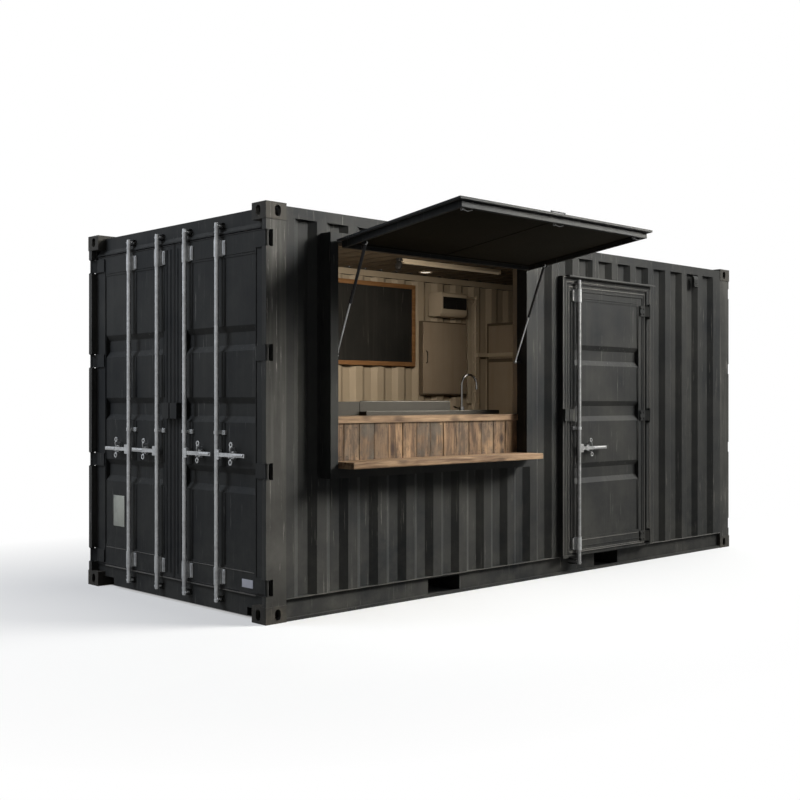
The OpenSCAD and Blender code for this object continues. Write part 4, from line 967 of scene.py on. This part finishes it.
def makeSinkDetail():
    z, top = 1.417, 1.447
    bm = bmesh.new()
    # rolled front edge, drainer ribs beside the bowl, and its waste
    x0, x1, front = -1.924, -0.398, -1.019
    addTube(bm, [(x0 + 0.002, front + 0.008, top - 0.002),
                 (x1 - 0.002, front + 0.008, top - 0.002)], 0.007, 12)
    for k in range(9):
        x = x0 + 0.62 + k * 0.045
        addTube(bm, [(x, front + 0.14, top), (x, front + 0.44, top)], 0.004, 8)
    addRing(bm, (x0 + 1.23, -0.719, 1.4235), (0, 0, 1), 0.040, 0.022, 0.006, 28)
    addTube(bm, [(x0 + 0.012, front + 0.0825, 1.5225), (x0 + 0.988, front + 0.0825, 1.5225)], 0.0075, 12)
    makePiece("sink_edges", bm, "container", [stainless])
    bm = bmesh.new()
    foot = Vector((-0.759, -0.919, 1.447))
    addRing(bm, foot + Vector((0, 0, 0.031)), (0, 0, 1), 0.0235, 0.0085, 0.006, 24)
    addTube(bm, [foot + Vector((0, 0.018, 0.018)), foot + Vector((0, 0.050, 0.022)),
                 foot + Vector((0, 0.090, 0.034))], 0.005, 12, radii=[0.007, 0.005, 0.0065])
    addRing(bm, foot + Vector((0.184, 0, 0.186)), (0, 0, 1), 0.0115, 0.0088, 0.012, 24)
    addRing(bm, foot + Vector((0, 0, 0.150)), (0, 0, 1), 0.0115, 0.0088, 0.008, 24)
    makePiece("tap_trim", bm, "container", [chrome])


makeCounter()
makeLedge()
makeSinkDetail()
print("counter detailed")

# the room

room = {"back": 1.177}


def makeMenuBoard():
    x0, x1, z0, z1, back = -0.439, 0.741, 1.890, 2.750, room["back"]
    bm = bmesh.new()
    rail = 0.045
    for a, b in (((x0, back - 0.032, z0), (x1, back, z0 + rail)),
                 ((x0, back - 0.032, z1 - rail), (x1, back, z1)),
                 ((x0, back - 0.032, z0 + rail), (x0 + rail, back, z1 - rail)),
                 ((x1 - rail, back - 0.032, z0 + rail), (x1, back, z1 - rail))):
        addBox(bm, a, b)
    piece = makePiece("menu_board_frame", bm, "container",
                      [frameWood], bevel=0.004, segments=2)
    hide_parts("menu_board")
    bm = bmesh.new()
    addBox(bm, (x0 + rail - 0.004, back - 0.020, z0 + rail - 0.004),
           (x1 - rail + 0.004, back - 0.002, z1 - rail + 0.004))
    piece = makePiece("menu_board_slate", bm, "container", [chalkboard], bevel=0.001)
    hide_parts("menu_board")


def makeAirUnit():
    x0, x1, z0, z1, back = 0.961, 1.365, 2.430, 2.690, room["back"]
    bm = bmesh.new()
    addPrism(bm, [(back - 0.170, z0), (back, z0), (back, z1), (back - 0.185, z1), (back - 0.200, z1 - 0.02),
                  (back - 0.200, z0 + 0.035)], 0, x0, x1)
    piece = makePiece("air_unit_case", bm, "container",
                      [creamCase], bevel=0.010, segments=3)
    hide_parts("air_unit")
    bm = bmesh.new()
    addBox(bm, (x0 + 0.026, back - 0.2005, z0 + 0.078), (x1 - 0.012, back - 0.192, z1 - 0.052))
    for k in range(6):
        z = z0 + 0.092 + k * 0.019
        addPrism(bm, [(back - 0.2005, z), (back - 0.2025, z - 0.004), (back - 0.2025, z - 0.001),
                      (back - 0.2005, z + 0.003)], 0, x0 + 0.034, x1 - 0.020)
    piece = makePiece("air_unit_grille", bm, "container",
                      [blackPaint], bevel=0.0005, segments=1)
    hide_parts("air_unit")


def makeCupboards():
    bm = bmesh.new()
    back = room["back"]
    # wall cabinet: case, raised door and its handle
    x0, x1, z0, z1 = 0.819, 1.514, 1.590, 2.380
    # the case is the dark tan, so that the gap round the door shows as painted shade
    addBox(bm, (x0, back - 0.046, z0), (x1, back, z1), 1)
    addBox(bm, (x0 + 0.014, back - 0.060, z0 + 0.014), (x1 - 0.014, back - 0.046, z1 - 0.014))
    piece = makePiece("wall_cabinet_case", bm, "container",
                      [creamPanel, creamPaintedShade], bevel=0.003)
    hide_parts("wall_cabinet")
    # tall cupboard: case with two doors facing the hatch and a panelled side
    x0, x1, z0, z1, front = 1.901, 2.571, 0.172, 2.400, 0.579
    bm = bmesh.new()
    # the case is the dark tan too, so that the gaps between doors and side panels show as painted shade
    addBox(bm, (x0 + 0.006, front + 0.020, z0), (x1, back, z1), 1)
    mid = (x0 + x1) / 2
    for a, b in ((x0 + 0.010, mid - 0.002), (mid + 0.002, x1 - 0.006)):
        addBox(bm, (a, front + 0.002, z0 + 0.08), (b, front + 0.0195, z1 - 0.01))
    for a, b in ((z0 + 0.10, 1.02), (1.06, 1.96), (2.00, z1 - 0.03)):
        addBox(bm, (x0, front + 0.050, a), (x0 + 0.0065, back - 0.030, b))
    addBox(bm, (x0 - 0.026, front + 0.006, 2.020), (x0 - 0.0005, back - 0.045, 2.062), 2)
    piece = makePiece("tall_cupboard_case", bm, "container",
                      [creamPanel, creamPaintedShade, creamCase], bevel=0.003)
    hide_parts("tall_cupboard")
    bm = bmesh.new()
    for x in (mid - 0.035, mid + 0.035):
        addTube(bm, [(x, front + 0.003, 1.15), (x, front - 0.018, 1.16), (x, front - 0.018, 1.30),
                     (x, front + 0.003, 1.31)], 0.005, 10)
    addTube(bm, [(0.873, back - 0.058, 1.93), (0.873, back - 0.078, 1.94), (0.873, back - 0.078, 2.05),
                 (0.873, back - 0.058, 2.06)], 0.005, 10)
    makePiece("cupboard_handles", bm, "container", [stainless])


def makeCeilingLight():
    top = 2.860
    x0, x1, y0, y1 = -0.339, 1.041, 0.211, 0.261
    bm = bmesh.new()
    addPrism(bm, [(y0, top), (y1, top), (y1 - 0.004, top - 0.026), (y0 + 0.004, top - 0.026)], 0, x0, x1)
    for x in (x0, x1 - 0.012):
        addBox(bm, (x, y0 + 0.001, top - 0.046), (x + 0.012, y1 - 0.001, top - 0.020))
    piece = makePiece("light_case", bm, "container", [creamCase], bevel=0.002)
    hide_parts("ceiling_light")
    bm = bmesh.new()
    addTube(bm, [(x0 + 0.012, 0.236, top - 0.033), (x1 - 0.012, 0.236, top - 0.033)], 0.013, 20)
    mat, _, bsdf, _ = startMaterial("lamp tube", Roughness=0.3)
    bsdf.inputs["Base Color"].default_value = (0.55, 0.47, 0.36, 1)
    bsdf.inputs["Emission Color"].default_value = (1.0, 0.85, 0.62, 1)
    bsdf.inputs["Emission Strength"].default_value = 0.04
    piece = makePiece("light_tube", bm, "container", [mat])
    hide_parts("ceiling_light")
    # a spot lamp at the near end of the case and a round downlight behind it
    bm = bmesh.new()
    addTube(bm, [(-0.375, 0.236, 2.859), (-0.375, 0.236, 2.835)], 0.030, 24)
    addTube(bm, [(-0.375, 0.236, 2.835), (-0.378, 0.236, 2.812)], 0.007, 10)
    addTube(bm, [(-0.372, 0.236, 2.824), (-0.386, 0.232, 2.786), (-0.398, 0.226, 2.752)], 0.03, 24,
            radii=[0.026, 0.036, 0.022])
    makePiece("spot_lamp", bm, "container", [blackPaint], bevel=0.001)
    bm = bmesh.new()
    addRing(bm, (0.594, 0.851, 2.8545), (0, 0, 1), 0.075, 0.055, 0.010, 32)
    makePiece("downlight_ring", bm, "container", [creamCase], bevel=0.001)
    bm = bmesh.new()
    addTube(bm, [(0.594, 0.851, 2.8590), (0.594, 0.851, 2.8530)], 0.053, 32)
    glow, _, bsdf, _ = startMaterial("downlight glow", Roughness=0.4)
    bsdf.inputs["Emission Color"].default_value = (1.0, 0.93, 0.82, 1)
    bsdf.inputs["Emission Strength"].default_value = 0.9
    makePiece("downlight_disc", bm, "container", [glow])


def makeConduits():
    back = room["back"]
    bm = bmesh.new()
    clips = [(1.701, z) for z in (1.62, 1.95, 2.28, 2.60)]
    for x, z in clips:
        addBox(bm, (x - 0.024, back - 0.026, z), (x + 0.024, back, z + 0.018))
    addTube(bm, [(1.701, back - 0.021, 2.660), (1.701, back - 0.021, 2.694)], 0.020, 16)
    addBox(bm, (1.366, back - 0.030, 2.654), (1.384, back, 2.682))
    for z in (1.7, 2.2, 2.6):
        addBox(bm, (1.566, back - 0.025, z), (1.624, back, z + 0.022))
    addBox(bm, (1.660, back - 0.034, 1.420), (1.742, back, 1.502))
    makePiece("conduit_clips", bm, "container", [creamCase], bevel=0.002)


makeMenuBoard()
makeAirUnit()
makeCupboards()
makeCeilingLight()
makeConduits()
print("room detailed")

# camera, floor and light

def makeCamera():
    camera = bpy.data.cameras.new("camera")
    camera.lens = 51.2
    camera.sensor_width = 36
    holder = bpy.data.objects.new("camera", camera)
    bpy.context.scene.collection.objects.link(holder)
    holder.location = (-7.7375, -7.4299, 1.5358)
    forward = Vector((0.6932, 0.7207, 0.0))
    holder.rotation_euler = forward.to_track_quat("-Z", "Y").to_euler()
    bpy.context.scene.camera = holder


floorWhite = (0.78, 0.78, 0.77, 1)


def seesBackdrop(tree):
    path = tree.nodes.new("ShaderNodeLightPath").outputs
    return mathNode(tree, "MAXIMUM", path["Is Camera Ray"],
                    mathNode(tree, "MAXIMUM", path["Is Glossy Ray"], path["Is Transmission Ray"]))


def makeFloor():
    mesh = bpy.data.meshes.new("floor stage")
    size = 60.0
    mesh.from_pydata([(-size, -size, 0), (size, -size, 0), (size, size, 0),
                      (-size, size, 0)], [], [(0, 1, 2, 3)])
    stage = bpy.data.objects.new("groundStage", mesh)
    bpy.context.scene.collection.objects.link(stage)
    mat, tree, bsdf, vector = startMaterial("studio floor", Roughness=0.9)
    # the camera sees the floor as white paper that keeps the shadow and fades out behind; inside the
    # container's footprint it is near black, a painted shadow
    spot = addNode(tree, "ShaderNodeSeparateXYZ", {0: vector}).outputs

    def outOf(halfX, halfY):
        # distance of a point of the floor outside a rectangle about the origin
        beyond = [mathNode(tree, "MAXIMUM", mathNode(tree, "SUBTRACT",
                mathNode(tree, "ABSOLUTE", spot[axis]), half), 0.0)
                  for axis, half in ((0, halfX), (1, halfY))]
        return mathNode(tree, "SQRT", mathNode(tree, "ADD", mathNode(tree, "POWER", beyond[0], 2.0),
                mathNode(tree, "POWER", beyond[1], 2.0)))

    distance = outOf(body["farEnd"], body["back"])
    seen = seesBackdrop(tree)
    # just inside the walls' footprint the floor turns near black: a painted shadow under the container
    outside = remap(tree, outOf(body["farEnd"] - 0.14, body["back"] - 0.04), 0.0, 0.04)
    paperAndPaintedShadow = mixColor(tree, outside, (0.03, 0.03, 0.03, 1), floorWhite)
    tree.links.new(mixColor(tree, seen, (0.045, 0.045, 0.045, 1), paperAndPaintedShadow), bsdf.inputs["Base Color"])
    white = addNode(tree, "ShaderNodeEmission", {"Color": (1, 1, 1, 1), "Strength": 1.0})
    blend = addNode(tree, "ShaderNodeMixShader", {0: mathNode(tree, "MULTIPLY",
            mathNode(tree, "MULTIPLY", seen, outside), remap(tree, distance, 0.15, 3.1, 0.42, 1.0)),
             1: bsdf.outputs[0], 2: white.outputs[0]})
    tree.links.new(blend.outputs[0], tree.nodes["Material Output"].inputs[0])
    mesh.materials.append(mat)


def makeLamp(name, place, target, size, power, color=(1, 1, 1), spread=180):
    lamp = bpy.data.lights.new(name, "AREA")
    lamp.spread = math.radians(spread)
    lamp.shape = "RECTANGLE"
    lamp.size, lamp.size_y = size
    lamp.energy = power
    lamp.color = color
    holder = bpy.data.objects.new(name, lamp)
    bpy.context.scene.collection.objects.link(holder)
    holder.location = place
    holder.rotation_euler = (Vector(target) - Vector(place)).to_track_quat("-Z", "Y").to_euler()


def makeWorld():
    world = bpy.data.worlds.new("studio")
    bpy.context.scene.world = world
    world.use_nodes = True
    tree = world.node_tree
    plain = tree.nodes["Background"]
    plain.inputs["Color"].default_value = (0.78, 0.86, 1.0, 1)
    plain.inputs["Strength"].default_value = 0.04
    white = addNode(tree, "ShaderNodeBackground", {"Color": (1, 1, 1, 1), "Strength": 1.0})
    mix = tree.nodes.new("ShaderNodeMixShader")
    tree.links.new(seesBackdrop(tree), mix.inputs[0])
    tree.links.new(plain.outputs[0], mix.inputs[1])
    tree.links.new(white.outputs[0], mix.inputs[2])
    tree.links.new(mix.outputs[0], tree.nodes["World Output"].inputs[0])


makeCamera()
makeFloor()
makeWorld()
makeLamp("key", (9.5, -7.6, 7.4), (-0.4, -1.2, 1.3), (4.5, 4.5), 1280, (1.0, 0.99, 0.96))
makeLamp("front", (5.0, -5.4, 6.8), (-0.5, -1.2, 1.2), (3.5, 3.5), 150, (1.0, 0.99, 0.96))
makeLamp("left end", (3.4, -6.6, 6.0), (-2.8, -1.2, 2.0), (3.5, 3.0), 130, (1.0, 0.98, 0.94), 50)
makeLamp("sky", (4.5, -2.0, 9.0), (1.5, -1.2, 0.0), (8, 7), 620, (0.94, 0.97, 1.0))
makeLamp("end sky", (-7.0, 2.8, 6.5), (-3.0, 0.2, 1.4), (3, 2.5), 85, (0.80, 0.87, 1.0), 100)
makeLamp("fill", (-13.0, 5.0, 4.5), (-3, 0, 1.4), (5, 4), 130, (0.80, 0.87, 1.0))
makeLamp("room", (-1.25, -0.85, 2.6), (-0.2, 1.177, 1.75), (1.3, 0.25), 13, (1.0, 0.88, 0.72), 95)
bpy.context.scene.view_settings.view_transform = "Standard"
